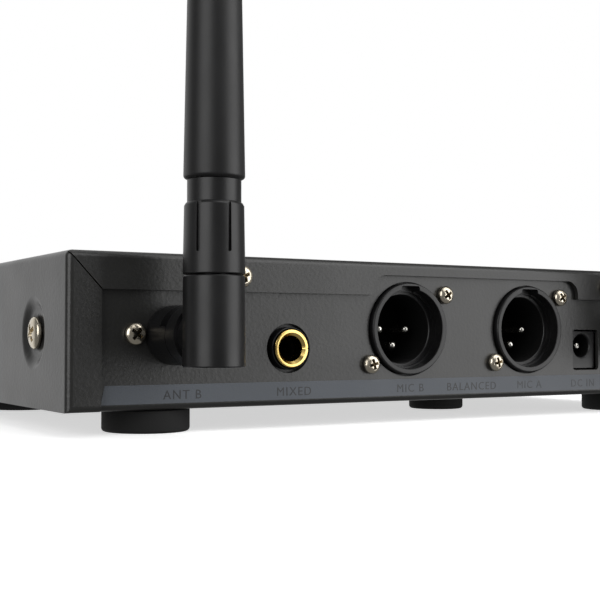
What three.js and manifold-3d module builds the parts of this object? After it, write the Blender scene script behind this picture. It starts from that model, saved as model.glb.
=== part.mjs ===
// Two-channel wireless receiver in a half-rack sheet-metal case: folded tray and cover, moulded
// front, two swivel antennas, two male XLR outputs, a 6.35 mm mixed output and a DC inlet.
// Millimetres, +Z up. The front faces -Y and the connector panel faces +Y. The origin is on the
// ground, under the middle of the object's bounding box.
import * as THREE from 'three';
import { mergeVertices } from 'three/addons/utils/BufferGeometryUtils.js';
import Module from 'manifold-3d';

const wasm = await Module();
wasm.setup();

// ---- Driving dimensions -------------------------------------------------------------------
const BODY_W = 210; // case width
const BODY_D = 126; // rear lip face to the back of the front moulding
const BODY_H = 36.6; // case height without feet
const SHEET = 1.2; // steel sheet
const GAP = 0.3; // clearance between neighbouring pieces
const FOOT_H = 5.7; // ground to the underside of the case
const FOOT_R = 10.65;
const FOOT_INSET_X = 24.9; // case side to foot centre
const FOOT_INSET_Y = 14; // rear lip face, or case front, to foot centre
const LIP_SIDE = 8.2; // width of the cover's side lips
const LIP_TOP = 8.7; // height of the cover's top lip
const FASCIA_T = 8; // front moulding
const FASCIA_WALL = 2.5;
const WHIP_OUT = 21.2; // connector panel to the whip's axis
const WHIP_INSET = 26.45; // case side to the whip's axis
const WHIP_TOP = 140.3; // whip tip above the case bottom
const HUB_H = 17.4; // swivel axis above the case bottom
const BARREL_R = 6.9; // knuckle barrel
const KNOB_R = 8;
const KNOB_L = 12.6;

const MIDDLE_FOOT = { u: 139, in: 47, r: 8.5 }; // support under the sockets' half of the floor

// ---- Derived places -----------------------------------------------------------------------
const PANEL_IN = SHEET + GAP; // lip face to connector panel face
const FRONT_REACH = BODY_D + FASCIA_T + GAP + KNOB_L;
const REAR_REACH = WHIP_OUT + BARREL_R - PANEL_IN;
const REAR_Y = (FRONT_REACH - REAR_REACH) / 2; // lip face; centres the bounding box on the origin
const PANEL_Y = REAR_Y - PANEL_IN; // outer face of the connector panel
const FRONT_Y = REAR_Y - BODY_D; // back of the front moulding
const FACE_Y = FRONT_Y - FASCIA_T; // front of the front moulding
const HALF_W = BODY_W / 2;
const acrossRear = (u) => HALF_W - u; // u runs rightwards as the connector panel is faced
const above = (h) => FOOT_H + h; // height above the case bottom
const sides = [{ tag: 'a', sign: -1 }, { tag: 'b', sign: 1 }]; // channel A is at -X, B at +X

// Connector panel layout: across (from the +X side) and height above the case bottom.
const XLR = [{ tag: 'b', u: 94.4 }, { tag: 'a', u: 136.35 }];
const XLR_H = 19.1;
const XLR_SCREW = { du: 12.15, dh: 9.2 };
const PHONE = { u: 57.75, h: 14.15 };
const DC = { u: 159.4, h: 13.2, w: 10.1, tall: 11.7 };
const PANEL_SCREW = { u: 16.6, h: 17.7 };
const LIP_SCREW = { u: 43.4, h: 31.6 };
const NOTCH = { from: 82.5, to: 155, h: 33.15, r: 4 };
const SIDE_SCREW = { h: 18, rear: 24, front: 100 }; // distances forward of the lip face
const DIMPLE = { r: 9, floor: 6, depth: 1.2 };

// Front layout, seen from the front: x positions and one shared height.
const FRONT_H = 18;
const DISPLAY = { w: 36, tall: 17, t: 2 };
const DISPLAY_X = { a: -62, b: 20 };
const SET_X = { a: -36, b: 46 };
const KNOB_X = { a: -20, b: 62 };
const POWER_X = -93;
const BUTTON_TRAVEL = 1.5;
const BOARD_Y = FRONT_Y + 4; // front face of the front board
const BOARD_T = 1.6;

// ---- Finishes -----------------------------------------------------------------------------
const finish = (color, roughness, metalness) => ({ color, roughness, metalness });
const PAINT = finish(0x3b3d40, 0.55, 0.2);
const MOULDED = finish(0x18191a, 0.45, 0);
const RUBBER = finish(0x141414, 0.85, 0);
const NICKEL = finish(0xb9b2a4, 0.25, 1);
const GOLD = finish(0xd9a83c, 0.2, 1);
const SILVER = finish(0xd6d6d2, 0.2, 1);
const BOARD = finish(0x1f5a38, 0.6, 0);
const TINPLATE = finish(0xa9adb0, 0.35, 1);
const SMOKED = finish(0x0b1014, 0.08, 0);
const GREY_BAND = finish(0x9aa0a6, 0.6, 0);
const LIGHT_KEY = finish(0x6d7278, 0.5, 0);

// ---- Solids -------------------------------------------------------------------------------
/** Welds a geometry into one closed indexed mesh, without collapsed triangles, facing out. */
function weld(geometry) {
  const bare = geometry.index ? geometry.toNonIndexed() : geometry.clone();
  for (const name of ['normal', 'uv']) bare.deleteAttribute(name);
  const merged = mergeVertices(bare, 1e-4);
  const spots = merged.getAttribute('position');
  const index = Array.from(merged.index.array);
  const kept = [];
  let volume = 0;
  const corners = [new THREE.Vector3(), new THREE.Vector3(), new THREE.Vector3()];
  for (let i = 0; i < index.length; i += 3) {
    const [a, b, c] = index.slice(i, i + 3);
    if (a === b || b === c || c === a) continue;
    kept.push(a, b, c);
    [a, b, c].forEach((v, k) => corners[k].fromBufferAttribute(spots, v));
    volume += corners[0].dot(corners[1].cross(corners[2])) / 6;
  }
  merged.setIndex(volume < 0 ? kept.reverse() : kept);
  return merged;
}

/** Turns a geometry into a manifold-3d solid. */
function solid(geometry) {
  const mesh = weld(geometry);
  return new wasm.Manifold(new wasm.Mesh({
    numProp: 3,
    vertProperties: new Float32Array(mesh.getAttribute('position').array),
    triVerts: new Uint32Array(mesh.index.array),
  }));
}

/** Turns a manifold-3d solid back into a geometry. */
function geometryOf(body) {
  const { vertProperties, triVerts } = body.getMesh();
  const geometry = new THREE.BufferGeometry();
  geometry.setAttribute('position', new THREE.BufferAttribute(new Float32Array(vertProperties), 3));
  geometry.setIndex(new THREE.BufferAttribute(new Uint32Array(triVerts), 1));
  return geometry;
}

/** Joins the first list of geometries and cuts the second list out of it. */
function carve(joined, removed = []) {
  let body = joined.map(solid).reduce((sum, piece) => sum.add(piece));
  for (const tool of removed) body = body.subtract(solid(tool));
  return geometryOf(body);
}

/** Box between two corners, [x, y, z] each. */
function block([x0, y0, z0], [x1, y1, z1]) {
  const box = new THREE.BoxGeometry(Math.abs(x1 - x0), Math.abs(y1 - y0), Math.abs(z1 - z0));
  return box.translate((x0 + x1) / 2, (y0 + y1) / 2, (z0 + z1) / 2);
}

/** Solid of revolution about Y from [radius, y] points, with its axis at (x, z). */
function spunY(points, x, z, segments = 20) {
  const profile = points.map(([r, y]) => new THREE.Vector2(r, y));
  return new THREE.LatheGeometry(profile, segments).translate(x, 0, z);
}

/** Solid of revolution about Z from [radius, z] points, with its axis at (x, y). */
function spunZ(points, x, y, segments = 20) {
  const profile = points.map(([r, z]) => new THREE.Vector2(r, z));
  return new THREE.LatheGeometry(profile, segments).rotateX(Math.PI / 2).translate(x, y, 0);
}

/** Solid of revolution about X from [radius, x] points, with its axis at (y, z). */
function spunX(points, y, z, segments = 20) {
  const profile = points.map(([r, x]) => new THREE.Vector2(r, x));
  return new THREE.LatheGeometry(profile, segments).rotateZ(-Math.PI / 2).translate(0, y, z);
}

/** Plain cylinder about Y between two y values. */
const rodY = (r, y0, y1, x, z, segments = 20) =>
  spunY([[0, y0], [r, y0], [r, y1], [0, y1]], x, z, segments);

/** Plain cylinder about Z between two z values. */
const rodZ = (r, z0, z1, x, y, segments = 20) =>
  spunZ([[0, z0], [r, z0], [r, z1], [0, z1]], x, y, segments);

/** Profile drawn in (y, z), extruded along X between two x values. */
function extrudeAlongX(shape, x0, x1, curveSegments = 4) {
  const body = new THREE.ExtrudeGeometry(shape, { depth: x1 - x0, bevelEnabled: false, curveSegments });
  const turn = new THREE.Matrix4().set(0, 0, 1, x0, 1, 0, 0, 0, 0, 1, 0, 0, 0, 0, 0, 1);
  return body.applyMatrix4(turn);
}

/** Profile drawn in (x, z), extruded along Y between two y values. */
function extrudeAlongY(shape, y0, y1, curveSegments = 4) {
  const body = new THREE.ExtrudeGeometry(shape, { depth: y1 - y0, bevelEnabled: false, curveSegments });
  return body.rotateX(Math.PI / 2).translate(0, y1, 0);
}

/** Rectangle with its corners rounded by r. */
function roundedRect(x0, z0, x1, z1, r) {
  const shape = new THREE.Shape();
  shape.moveTo(x0 + r, z0).lineTo(x1 - r, z0).absarc(x1 - r, z0 + r, r, -Math.PI / 2, 0, false);
  shape.lineTo(x1, z1 - r).absarc(x1 - r, z1 - r, r, 0, Math.PI / 2, false);
  shape.lineTo(x0 + r, z1).absarc(x0 + r, z1 - r, r, Math.PI / 2, Math.PI, false);
  shape.lineTo(x0, z0 + r).absarc(x0 + r, z0 + r, r, Math.PI, Math.PI * 1.5, false);
  return shape;
}

/** Ring sector about Y: inner and outer radius, start and end angle in degrees from +X to +Z. */
function sector(inner, outer, from, to, y0, y1, x, z) {
  const [a, b] = [from, to].map(THREE.MathUtils.degToRad);
  const shape = new THREE.Shape();
  shape.absarc(0, 0, outer, a, b, false);
  shape.absarc(0, 0, inner, b, a, true);
  return extrudeAlongY(shape, y0, y1, 8).translate(x, 0, z);
}

// ---- Scene graph --------------------------------------------------------------------------
const group = new THREE.Group();

/** Adds one named piece with its own material. */
function add(name, geometry, look) {
  const mesh = new THREE.Mesh(weld(geometry), new THREE.MeshStandardMaterial(look));
  mesh.name = name;
  group.add(mesh);
}

// ---- Screws -------------------------------------------------------------------------------
const SCREW_SEGMENTS = 12;

/** Pan-head cross-recess screw along +Y, its head standing on y = 0; r is the head radius. */
function panScrew(r, headHeight, shankR, shankL) {
  const head = spunY([
    [0, -shankL], [shankR, -shankL], [shankR, 0], [r, 0],
    [r, headHeight * 0.45], [r * 0.72, headHeight * 0.9], [0, headHeight],
  ], 0, 0, SCREW_SEGMENTS);
  const arm = r * 0.55;
  const width = r * 0.15;
  const depth = headHeight * 0.45;
  return carve([head], [
    block([-arm, depth, -width], [arm, headHeight + 1, width]),
    block([-width, depth, -arm], [width, headHeight + 1, arm]),
  ]);
}

/** Screw driven forwards into the connector panel or the rear lip. */
function rearScrew(name, u, h, seatY, r, headHeight, turn) {
  const screw = panScrew(r, headHeight, r * 0.5, 5).rotateY(turn);
  add(name, screw.translate(acrossRear(u), seatY, above(h)), NICKEL);
}

function rearScrews() {
  const seat = PANEL_Y + GAP;
  for (const { tag, u } of XLR) {
    const spots = [['lower', -1, 0.5], ['upper', 1, 0.2]];
    for (const [place, sign, turn] of spots) {
      const name = `xlr_screw_${tag}_${place}`;
      rearScrew(name, u + sign * XLR_SCREW.du, XLR_H + sign * XLR_SCREW.dh, seat, 2.45, 1.9, turn);
    }
  }
  for (const { tag, sign } of sides) {
    const mirrored = (u) => (sign > 0 ? u : BODY_W - u);
    rearScrew(`panel_screw_${tag}`, mirrored(PANEL_SCREW.u), PANEL_SCREW.h, seat, 2.6, 1.9, 0.9);
    rearScrew(`lip_screw_${tag}`, mirrored(LIP_SCREW.u), LIP_SCREW.h, REAR_Y + GAP, 2.75, 2, 0.4);
  }
}

function sideScrews() {
  for (const { tag, sign } of sides) {
    for (const place of ['rear', 'front']) {
      const screw = panScrew(3.9, 1.7, 1.5, 7);
      if (sign > 0) screw.rotateZ(-Math.PI / 2);
      else screw.rotateZ(Math.PI / 2);
      const x = sign * (HALF_W - DIMPLE.depth + GAP);
      add(`side_screw_${tag}_${place}`, screw.translate(x, REAR_Y - SIDE_SCREW[place],
        above(SIDE_SCREW.h)), NICKEL);
    }
  }
}

// ---- Case ---------------------------------------------------------------------------------
/** Outline of the folded cover in (x, z): an upside-down U of sheet. */
function coverSection() {
  const outer = 2;
  const inner = outer - SHEET;
  const [x1, z0, z1] = [HALF_W, above(0), above(BODY_H)];
  const shape = new THREE.Shape();
  shape.moveTo(x1, z0).lineTo(x1, z1 - outer).absarc(x1 - outer, z1 - outer, outer, 0, Math.PI / 2);
  shape.lineTo(outer - x1, z1).absarc(outer - x1, z1 - outer, outer, Math.PI / 2, Math.PI);
  shape.lineTo(-x1, z0).lineTo(SHEET - x1, z0).lineTo(SHEET - x1, z1 - outer);
  shape.absarc(outer - x1, z1 - outer, inner, Math.PI, Math.PI / 2, true);
  shape.lineTo(x1 - outer, z1 - SHEET);
  shape.absarc(x1 - outer, z1 - outer, inner, Math.PI / 2, 0, true);
  shape.lineTo(x1 - SHEET, z0);
  return shape;
}

/** Rear lips of the cover in (x, z), with the notch that clears the two XLR sockets. */
function lipShape() {
  const [x1, z0, z1] = [HALF_W - 0.5, above(0), above(BODY_H) - 0.5];
  const side = HALF_W - LIP_SIDE;
  const under = above(BODY_H - LIP_TOP);
  const [left, right, roof] = [acrossRear(NOTCH.to), acrossRear(NOTCH.from), above(NOTCH.h)];
  const shape = new THREE.Shape();
  shape.moveTo(-x1, z0).lineTo(-side, z0).lineTo(-side, under).lineTo(left, under);
  shape.absarc(left + NOTCH.r, roof - NOTCH.r, NOTCH.r, Math.PI, Math.PI / 2, true);
  shape.absarc(right - NOTCH.r, roof - NOTCH.r, NOTCH.r, Math.PI / 2, 0, true);
  shape.lineTo(right, under).lineTo(side, under).lineTo(side, z0).lineTo(x1, z0);
  shape.lineTo(x1, z1).lineTo(-x1, z1);
  return shape;
}

function topCover() {
  const skins = [
    extrudeAlongY(coverSection(), FRONT_Y + GAP, REAR_Y),
    extrudeAlongY(lipShape(), REAR_Y - SHEET, REAR_Y),
  ];
  const cuts = [];
  for (const { sign } of sides) {
    for (const place of ['rear', 'front']) {
      const [y, z] = [REAR_Y - SIDE_SCREW[place], above(SIDE_SCREW.h)];
      const face = sign * HALF_W;
      const [floor, back] = [face - sign * DIMPLE.depth, face - sign * (DIMPLE.depth + SHEET)];
      skins.push(spunX([[0, face - sign * SHEET], [DIMPLE.r + 0.5, face - sign * SHEET],
        [DIMPLE.floor + 0.6, back], [0, back]], y, z, 24));
      cuts.push(spunX([[0, face + sign], [DIMPLE.r + 0.9, face + sign], [DIMPLE.r, face],
        [DIMPLE.floor, floor], [0, floor]], y, z, 24));
      cuts.push(spunX([[0, face], [1.8, face], [1.8, back - sign], [0, back - sign]], y, z, 12));
    }
    const x = sign * acrossRear(LIP_SCREW.u);
    cuts.push(rodY(1.7, REAR_Y - 3, REAR_Y + 1, x, above(LIP_SCREW.h), 12));
  }
  add('top_cover', carve(skins, cuts), PAINT);
}

/** Tray section in (y, z): bottom sheet, tall connector panel and low front upstand. */
function traySection() {
  const r = 1.6;
  const [back, front] = [PANEL_Y, FRONT_Y + GAP];
  const [z0, top, low] = [above(0), above(BODY_H) - SHEET - GAP, above(4.5)];
  const shape = new THREE.Shape();
  shape.moveTo(front + r, z0).lineTo(back - r, z0).absarc(back - r, z0 + r, r, -Math.PI / 2, 0);
  shape.lineTo(back, top).lineTo(back - SHEET, top).lineTo(back - SHEET, z0 + SHEET);
  shape.lineTo(front + SHEET, z0 + SHEET).lineTo(front + SHEET, low).lineTo(front, low);
  shape.lineTo(front, z0 + r).absarc(front + r, z0 + r, r, Math.PI, Math.PI * 1.5);
  return shape;
}

const STANDOFFS = [[-90, -50], [90, -50], [-90, 28], [90, 28]];

function chassisTray() {
  const half = HALF_W - SHEET - GAP;
  const tabX = HALF_W - DIMPLE.depth - SHEET - GAP;
  const skins = [extrudeAlongX(traySection(), -half, half)];
  const cuts = [];
  const through = (r, u, h, segments = 12) =>
    rodY(r, PANEL_Y - SHEET - 1, PANEL_Y + 1, acrossRear(u), above(h), segments);
  for (const { sign } of sides) {
    const mirrored = (u) => (sign > 0 ? u : BODY_W - u);
    for (const place of ['rear', 'front']) {
      const y = REAR_Y - SIDE_SCREW[place];
      skins.push(block([sign * tabX, y - 10, above(0.5)],
        [sign * (tabX - SHEET), y + 10, above(26)]));
      cuts.push(spunX([[0, sign * (tabX + 1)], [1.8, sign * (tabX + 1)],
        [1.8, sign * (tabX - 3)], [0, sign * (tabX - 3)]], y, above(SIDE_SCREW.h), 12));
    }
    cuts.push(through(5.5, mirrored(WHIP_INSET), HUB_H, 20));
    cuts.push(through(1.4, mirrored(PANEL_SCREW.u), PANEL_SCREW.h));
    cuts.push(through(1.7, mirrored(LIP_SCREW.u), LIP_SCREW.h));
  }
  for (const { u } of XLR) {
    cuts.push(through(12.45, u, XLR_H, 32));
    for (const sign of [-1, 1]) {
      cuts.push(through(1.55, u + sign * XLR_SCREW.du, XLR_H + sign * XLR_SCREW.dh));
    }
  }
  cuts.push(through(6.1, PHONE.u, PHONE.h, 24));
  const dcX = acrossRear(DC.u);
  cuts.push(block([dcX - DC.w / 2, PANEL_Y - 3, above(DC.h - DC.tall / 2)],
    [dcX + DC.w / 2, PANEL_Y + 1, above(DC.h + DC.tall / 2)]));
  for (const [x, y] of STANDOFFS) skins.push(rodZ(3, above(0.6), above(5.1), x, y, 12));
  add('chassis_tray', carve(skins, cuts), PAINT);
}

function feet() {
  for (const { tag, sign } of sides) {
    const places = { rear: REAR_Y - FOOT_INSET_Y, front: FRONT_Y + FOOT_INSET_Y };
    for (const [place, y] of Object.entries(places)) {
      const top = FOOT_H - GAP;
      const foot = spunZ([
        [0, 3], [4, 3], [4, 0], [FOOT_R - 1.2, 0], [FOOT_R - 0.35, 0.35], [FOOT_R, 1.2],
        [FOOT_R, top], [0, top],
      ], sign * (HALF_W - FOOT_INSET_X), y, 24);
      add(`foot_${tag}_${place}`, foot, RUBBER);
    }
  }
  const { u, in: inset, r } = MIDDLE_FOOT;
  add('foot_middle', spunZ([
    [0, 3], [3.2, 3], [3.2, 0], [r - 1.2, 0], [r - 0.35, 0.35], [r, 1.2], [r, FOOT_H - GAP],
    [0, FOOT_H - GAP],
  ], acrossRear(u), REAR_Y - inset, 24), RUBBER);
}

// ---- Connectors ---------------------------------------------------------------------------
const XLR_RING = { r: 12.15, inner: 10.4, proud: 1.5, recess: 4.3, rim: 9.3, bore: 9.15 };
const XLR_FLOOR = -17; // floor of the socket, from the panel face
const XLR_BACK = -21;
const PIN_R = 1.2;
const PIN_SPOTS = [[-4.4, 0], [4.4, 0], [0, -4.4]]; // across and up from the socket's axis

function xlrSocket({ tag, u }) {
  const [x, z] = [acrossRear(u), above(XLR_H)];
  const y = (s) => PANEL_Y + s;
  const { r, inner, proud, recess, rim, bore } = XLR_RING;
  const shell = spunY([
    [0, y(XLR_FLOOR)], [bore, y(XLR_FLOOR)], [bore, y(proud - recess - 0.4)],
    [rim, y(proud - recess)], [inner, y(proud - 0.5)], [inner + 0.3, y(proud)],
    [r - 0.4, y(proud)], [r, y(proud - 0.4)], [r, y(-SHEET - 1)], [11.2, y(-SHEET - 1)],
    [11.2, y(XLR_BACK)], [0, y(XLR_BACK)],
  ], x, z, 28);
  const flangeBack = -SHEET - GAP - 2.2;
  const flange = block([x - 15.5, y(flangeBack), z - 13], [x + 15.5, y(-SHEET - GAP), z + 13]);
  const cuts = [
    rodY(bore + 0.9, y(flangeBack - 0.5), y(-SHEET), x, z, 28),
  ];
  const ringed = carve([flange], cuts);
  const holes = PIN_SPOTS.map(([dx, dz]) =>
    rodY(PIN_R + GAP, y(XLR_BACK - 1), y(XLR_FLOOR + 1), x + dx, z + dz, 8));
  const keyway = block([x - 3, y(proud - 3.4), z + 8], [x + 3, y(proud + 1), z + 11.5]);
  for (const sign of [-1, 1]) {
    holes.push(rodY(1.55, y(flangeBack - 1), y(0), x - sign * XLR_SCREW.du,
      z + sign * XLR_SCREW.dh, 12));
  }
  add(`xlr_socket_${tag}`, carve([shell, ringed], [...holes, keyway]), MOULDED);
  PIN_SPOTS.forEach(([dx, dz], i) => {
    const tip = y(-6.2);
    const pin = spunY([[0, y(XLR_BACK - 4)], [PIN_R, y(XLR_BACK - 4)], [PIN_R, tip - 0.9],
      [PIN_R * 0.55, tip - 0.1], [0, tip]], x + dx, z + dz, 8);
    add(`xlr_pin_${tag}_${i + 1}`, pin, SILVER);
  });
}

function phoneJack() {
  const [x, z] = [acrossRear(PHONE.u), above(PHONE.h)];
  const y = (s) => PANEL_Y + s;
  const housing = carve([
    rodY(5.8, y(-SHEET - 2), y(1.5), x, z, 24),
    block([x - 8, y(-29), z - 6.4], [x + 8, y(-SHEET - GAP), z + 6.4]),
  ], [
    rodY(5.05, y(-3), y(2), x, z, 24),
    rodY(3.3, y(-27), y(2), x, z, 20),
  ]);
  add('phone_jack_body', housing, MOULDED);
  const bush = spunY([[3.25, y(-2.6)], [4.75, y(-2.6)], [4.75, y(1.5)], [4.45, y(1.8)],
    [3.9, y(1.8)], [3.25, y(1.2)], [3.25, y(-2.6)]], x, z, 24);
  add('phone_jack_bush', bush, GOLD);
}

const DC_BORE = { u: 159.05, h: 14.35, r: 3.2 };

function dcInlet() {
  const face = PANEL_Y - 1.3;
  const [x, z] = [acrossRear(DC.u), above(DC.h)];
  const [boreX, boreZ] = [acrossRear(DC_BORE.u), above(DC_BORE.h)];
  const body = carve([block([x - 4.7, face - 14, z - 5.5], [x + 4.7, face, z + 5.5])], [
    rodY(DC_BORE.r, face - 10, face + 1, boreX, boreZ, 20),
    rodY(1 + GAP, face - 15, face - 9, boreX, boreZ, 10),
  ]);
  add('dc_inlet_body', body, MOULDED);
  const pin = spunY([[0, face - 15], [1, face - 15], [1, face - 2.4], [0.5, face - 1.6],
    [0, face - 1.6]], boreX, boreZ, 10);
  add('dc_inlet_pin', pin, SILVER);
}

// ---- Antennas -----------------------------------------------------------------------------
const PIVOT_R = 3.2;
// Swivel hub: radius, and how far out of the panel its base, fixed stop and disc reach.
const HUB = { r: 7, base: 7.3, stop: 10.6, disc: 15.5 };
const STOP = { from: 16, to: 164, lug: 14 }; // degrees: fixed stop's arc and lug's half arc

function antennaBase(tag, x) {
  const z = above(HUB_H);
  const y = (s) => PANEL_Y + s;
  const body = carve([
    rodY(HUB.r, y(GAP), y(HUB.base), x, z, 24),
    rodY(5.2, y(-6.8), y(1), x, z, 24),
    sector(PIVOT_R + 1.5, HUB.r, STOP.from, STOP.to, y(HUB.base - 1), y(HUB.stop), x, z),
  ], [rodY(PIVOT_R + GAP, y(-8), y(HUB.base + 1), x, z, 16)]);
  add(`antenna_base_${tag}`, body, MOULDED);
}

function antennaKnuckle(tag, x) {
  const z = above(HUB_H);
  const y = (s) => PANEL_Y + s;
  const axisY = y(WHIP_OUT);
  const [foot, top] = [above(11.1), above(30.4)];
  const body = carve([
    rodY(PIVOT_R, y(-8), y(HUB.stop + 1), x, z, 16),
    rodY(4.4, y(-8.6), y(-7.2), x, z, 16),
    sector(PIVOT_R - 1, HUB.r, 270 - STOP.lug, 270 + STOP.lug, y(HUB.base + GAP), y(HUB.stop + 1),
      x, z),
    rodY(HUB.r, y(HUB.stop + GAP), y(HUB.disc), x, z, 24),
    rodY(6.1, y(HUB.disc - 1), axisY, x, z, 24),
    spunZ([[0, foot], [BARREL_R - 1.2, foot], [BARREL_R, foot + 1.2], [6.8, top - 0.3],
      [6.5, top], [0, top]], x, axisY, 24),
    rodZ(3.5, top - 1, top + 6, x, axisY, 12),
  ]);
  add(`antenna_knuckle_${tag}`, body, MOULDED);
}

function antennaGrip(tag, x) {
  const axisY = PANEL_Y + WHIP_OUT;
  const [z0, shoulder, neckTop] = [above(30.7), above(46.6), above(51.25)];
  const grooves = [];
  for (let i = 0; i < 6; i += 1) {
    const angle = (i + 0.55) * Math.PI / 3;
    const groove = block([6.05, -0.45, shoulder - 11], [8, 0.45, shoulder + 1]);
    grooves.push(groove.rotateZ(angle).translate(x, axisY, 0));
  }
  const collar = carve([
    spunZ([[0, z0], [6.85, z0], [6.6, shoulder - 0.7], [5.95, shoulder], [5.95, neckTop],
      [0, neckTop]], x, axisY, 24),
    rodZ(3, neckTop - 1, neckTop + 8, x, axisY, 12),
  ], [rodZ(3.8, z0 - 1, z0 + 6.3, x, axisY, 12), ...grooves]);
  add(`antenna_grip_${tag}`, collar, MOULDED);
}

function antennaWhip(tag, x) {
  const axisY = PANEL_Y + WHIP_OUT;
  const [z0, tip] = [above(51.55), above(WHIP_TOP)];
  const sleeve = carve([
    spunZ([[0, z0], [6.2, z0], [6.78, z0 + 0.7], [5.2, tip - 1.6], [4.6, tip - 0.4],
      [3.6, tip], [0, tip]], x, axisY, 24),
  ], [rodZ(3.3, z0 - 1, z0 + 8.3, x, axisY, 12)]);
  add(`antenna_whip_${tag}`, sleeve, MOULDED);
}

function antennas() {
  for (const { tag, sign } of sides) {
    const x = sign * acrossRear(WHIP_INSET);
    for (const make of [antennaBase, antennaKnuckle, antennaGrip, antennaWhip]) make(tag, x);
  }
}

// ---- Front --------------------------------------------------------------------------------
const POWER_R = 4.6;
const SET_R = 3.4;
const BOSSES = [[-98, 8], [98, 8], [-98, 29], [98, 29]]; // x, and height above the case bottom

function frontFascia() {
  const outline = roundedRect(-HALF_W, above(0), HALF_W, above(BODY_H), 2);
  const edge = 1.2;
  const shell = new THREE.ExtrudeGeometry(outline, {
    depth: FASCIA_T, bevelThickness: edge, bevelSize: edge, bevelOffset: -edge, bevelSegments: 2,
    curveSegments: 4,
  }).rotateX(Math.PI / 2).translate(0, FACE_Y + edge + FASCIA_T, 0);
  const [hx, z0, z1] = [HALF_W - 2.2, above(2.2), above(BODY_H - 2.2)];
  const wallBack = FACE_Y + FASCIA_WALL;
  const hollow = block([-hx, wallBack, z0], [hx, FRONT_Y + 9, z1]);
  const behind = block([-HALF_W - 1, FRONT_Y - GAP, above(-1)],
    [HALF_W + 1, FRONT_Y + 9, above(BODY_H + 1)]);
  const z = above(FRONT_H);
  const through = (r, x, segments = 20) => rodY(r, FACE_Y - 1, wallBack + 1, x, z, segments);
  const cuts = [hollow, behind, through(POWER_R + GAP, POWER_X)];
  for (const { tag } of sides) {
    cuts.push(through(3.5, KNOB_X[tag], 16), through(SET_R + GAP, SET_X[tag]));
    const [hw, hh] = [DISPLAY.w / 2 + GAP, DISPLAY.tall / 2 + GAP];
    cuts.push(block([DISPLAY_X[tag] - hw, FACE_Y - 1, z - hh],
      [DISPLAY_X[tag] + hw, wallBack + 1, z + hh]));
  }
  const bosses = BOSSES.map(([x, h]) =>
    rodY(2.4, wallBack - 1, BOARD_Y - GAP, x, above(h), 12));
  add('front_fascia', carve([geometryOf(solid(carve([shell], cuts))), ...bosses]), MOULDED);
}

/** Push button with a retaining flange behind the front wall; it travels inwards, along +Y. */
function pushButton(name, r, x, proud, look) {
  const z = above(FRONT_H);
  const flange = FACE_Y + FASCIA_WALL + GAP;
  const back = FRONT_Y - GAP - BUTTON_TRAVEL;
  const face = FACE_Y - proud;
  add(name, spunY([[0, back], [2, back], [2, flange + 1], [r + 1, flange + 1], [r + 1, flange],
    [r, flange], [r, face + 0.4], [r - 0.4, face], [0, face]], x, z, 20), look);
}

function controls() {
  pushButton('power_button', POWER_R, POWER_X, 1.8, LIGHT_KEY);
  const z = above(FRONT_H);
  add('power_switch', block([POWER_X - 4, FRONT_Y, z - 4],
    [POWER_X + 4, BOARD_Y - GAP, z + 4]), MOULDED);
  for (const { tag } of sides) {
    pushButton(`set_button_${tag}`, SET_R, SET_X[tag], 1.6, LIGHT_KEY);
    const x = KNOB_X[tag];
    const [back, front] = [FACE_Y - GAP, FACE_Y - GAP - KNOB_L];
    const knob = carve([
      spunY([[0, back], [KNOB_R, back], [KNOB_R, back - 2.4], [KNOB_R - 0.8, back - 3],
        [KNOB_R - 1.1, front + 1], [KNOB_R - 2, front], [0, front]], x, z, 28),
    ], [
      rodY(PIVOT_R + 0.1, front + 1.2, back + 1, x, z, 16),
      block([x - 0.5, front - 1, z + 2], [x + 0.5, front + 0.5, z + KNOB_R]),
    ]);
    add(`volume_knob_${tag}`, knob, MOULDED);
    add(`pot_shaft_${tag}`, rodY(3, front + 1.5, FRONT_Y + 1.7, x, z, 16), TINPLATE);
    const body = carve([
      block([x - 5.5, FRONT_Y - 2, z - 6], [x + 5.5, BOARD_Y - GAP, z + 6]),
      rodY(4.5, FACE_Y + FASCIA_WALL + GAP, FRONT_Y - 1, x, z, 16),
    ], [rodY(3.3, FACE_Y, FRONT_Y + 2, x, z, 16)]);
    add(`potentiometer_${tag}`, body, TINPLATE);
    const [dx, hw, hh] = [DISPLAY_X[tag], DISPLAY.w / 2, DISPLAY.tall / 2];
    add(`display_window_${tag}`, block([dx - hw, FACE_Y + 0.3, z - hh],
      [dx + hw, FACE_Y + 0.3 + DISPLAY.t, z + hh]), SMOKED);
    add(`display_module_${tag}`, block([dx - hw + 1, FACE_Y + 3, z - hh + 0.5],
      [dx + hw - 1, BOARD_Y - GAP, z + hh - 0.5]), LIGHT_KEY);
  }
}

// ---- Inside -------------------------------------------------------------------------------
const MAIN_BOARD = { x: 98, top: 7, t: 1.6, front: FRONT_Y + 10, rear: PANEL_Y - SHEET - 1 };
const BAY_Y = PANEL_Y - 27; // the main board stops here behind the XLR sockets

function boards() {
  const { x, top, t, front, rear } = MAIN_BOARD;
  const main = carve([block([-x, front, above(top - t)], [x, rear, above(top)])], [
    block([acrossRear(XLR[1].u) - 17, BAY_Y, above(0)],
      [acrossRear(XLR[0].u) + 17, rear + 1, above(20)]),
  ]);
  add('main_board', main, BOARD);
  const z = above(FRONT_H);
  const keys = sides.map(({ tag }) =>
    block([SET_X[tag] - 3, FRONT_Y, z - 3], [SET_X[tag] + 3, BOARD_Y + 0.5, z + 3]));
  const front_board = block([-100, BOARD_Y, above(4)], [100, BOARD_Y + BOARD_T, above(32)]);
  add('front_board', carve([front_board, ...keys]), BOARD);
}

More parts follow.
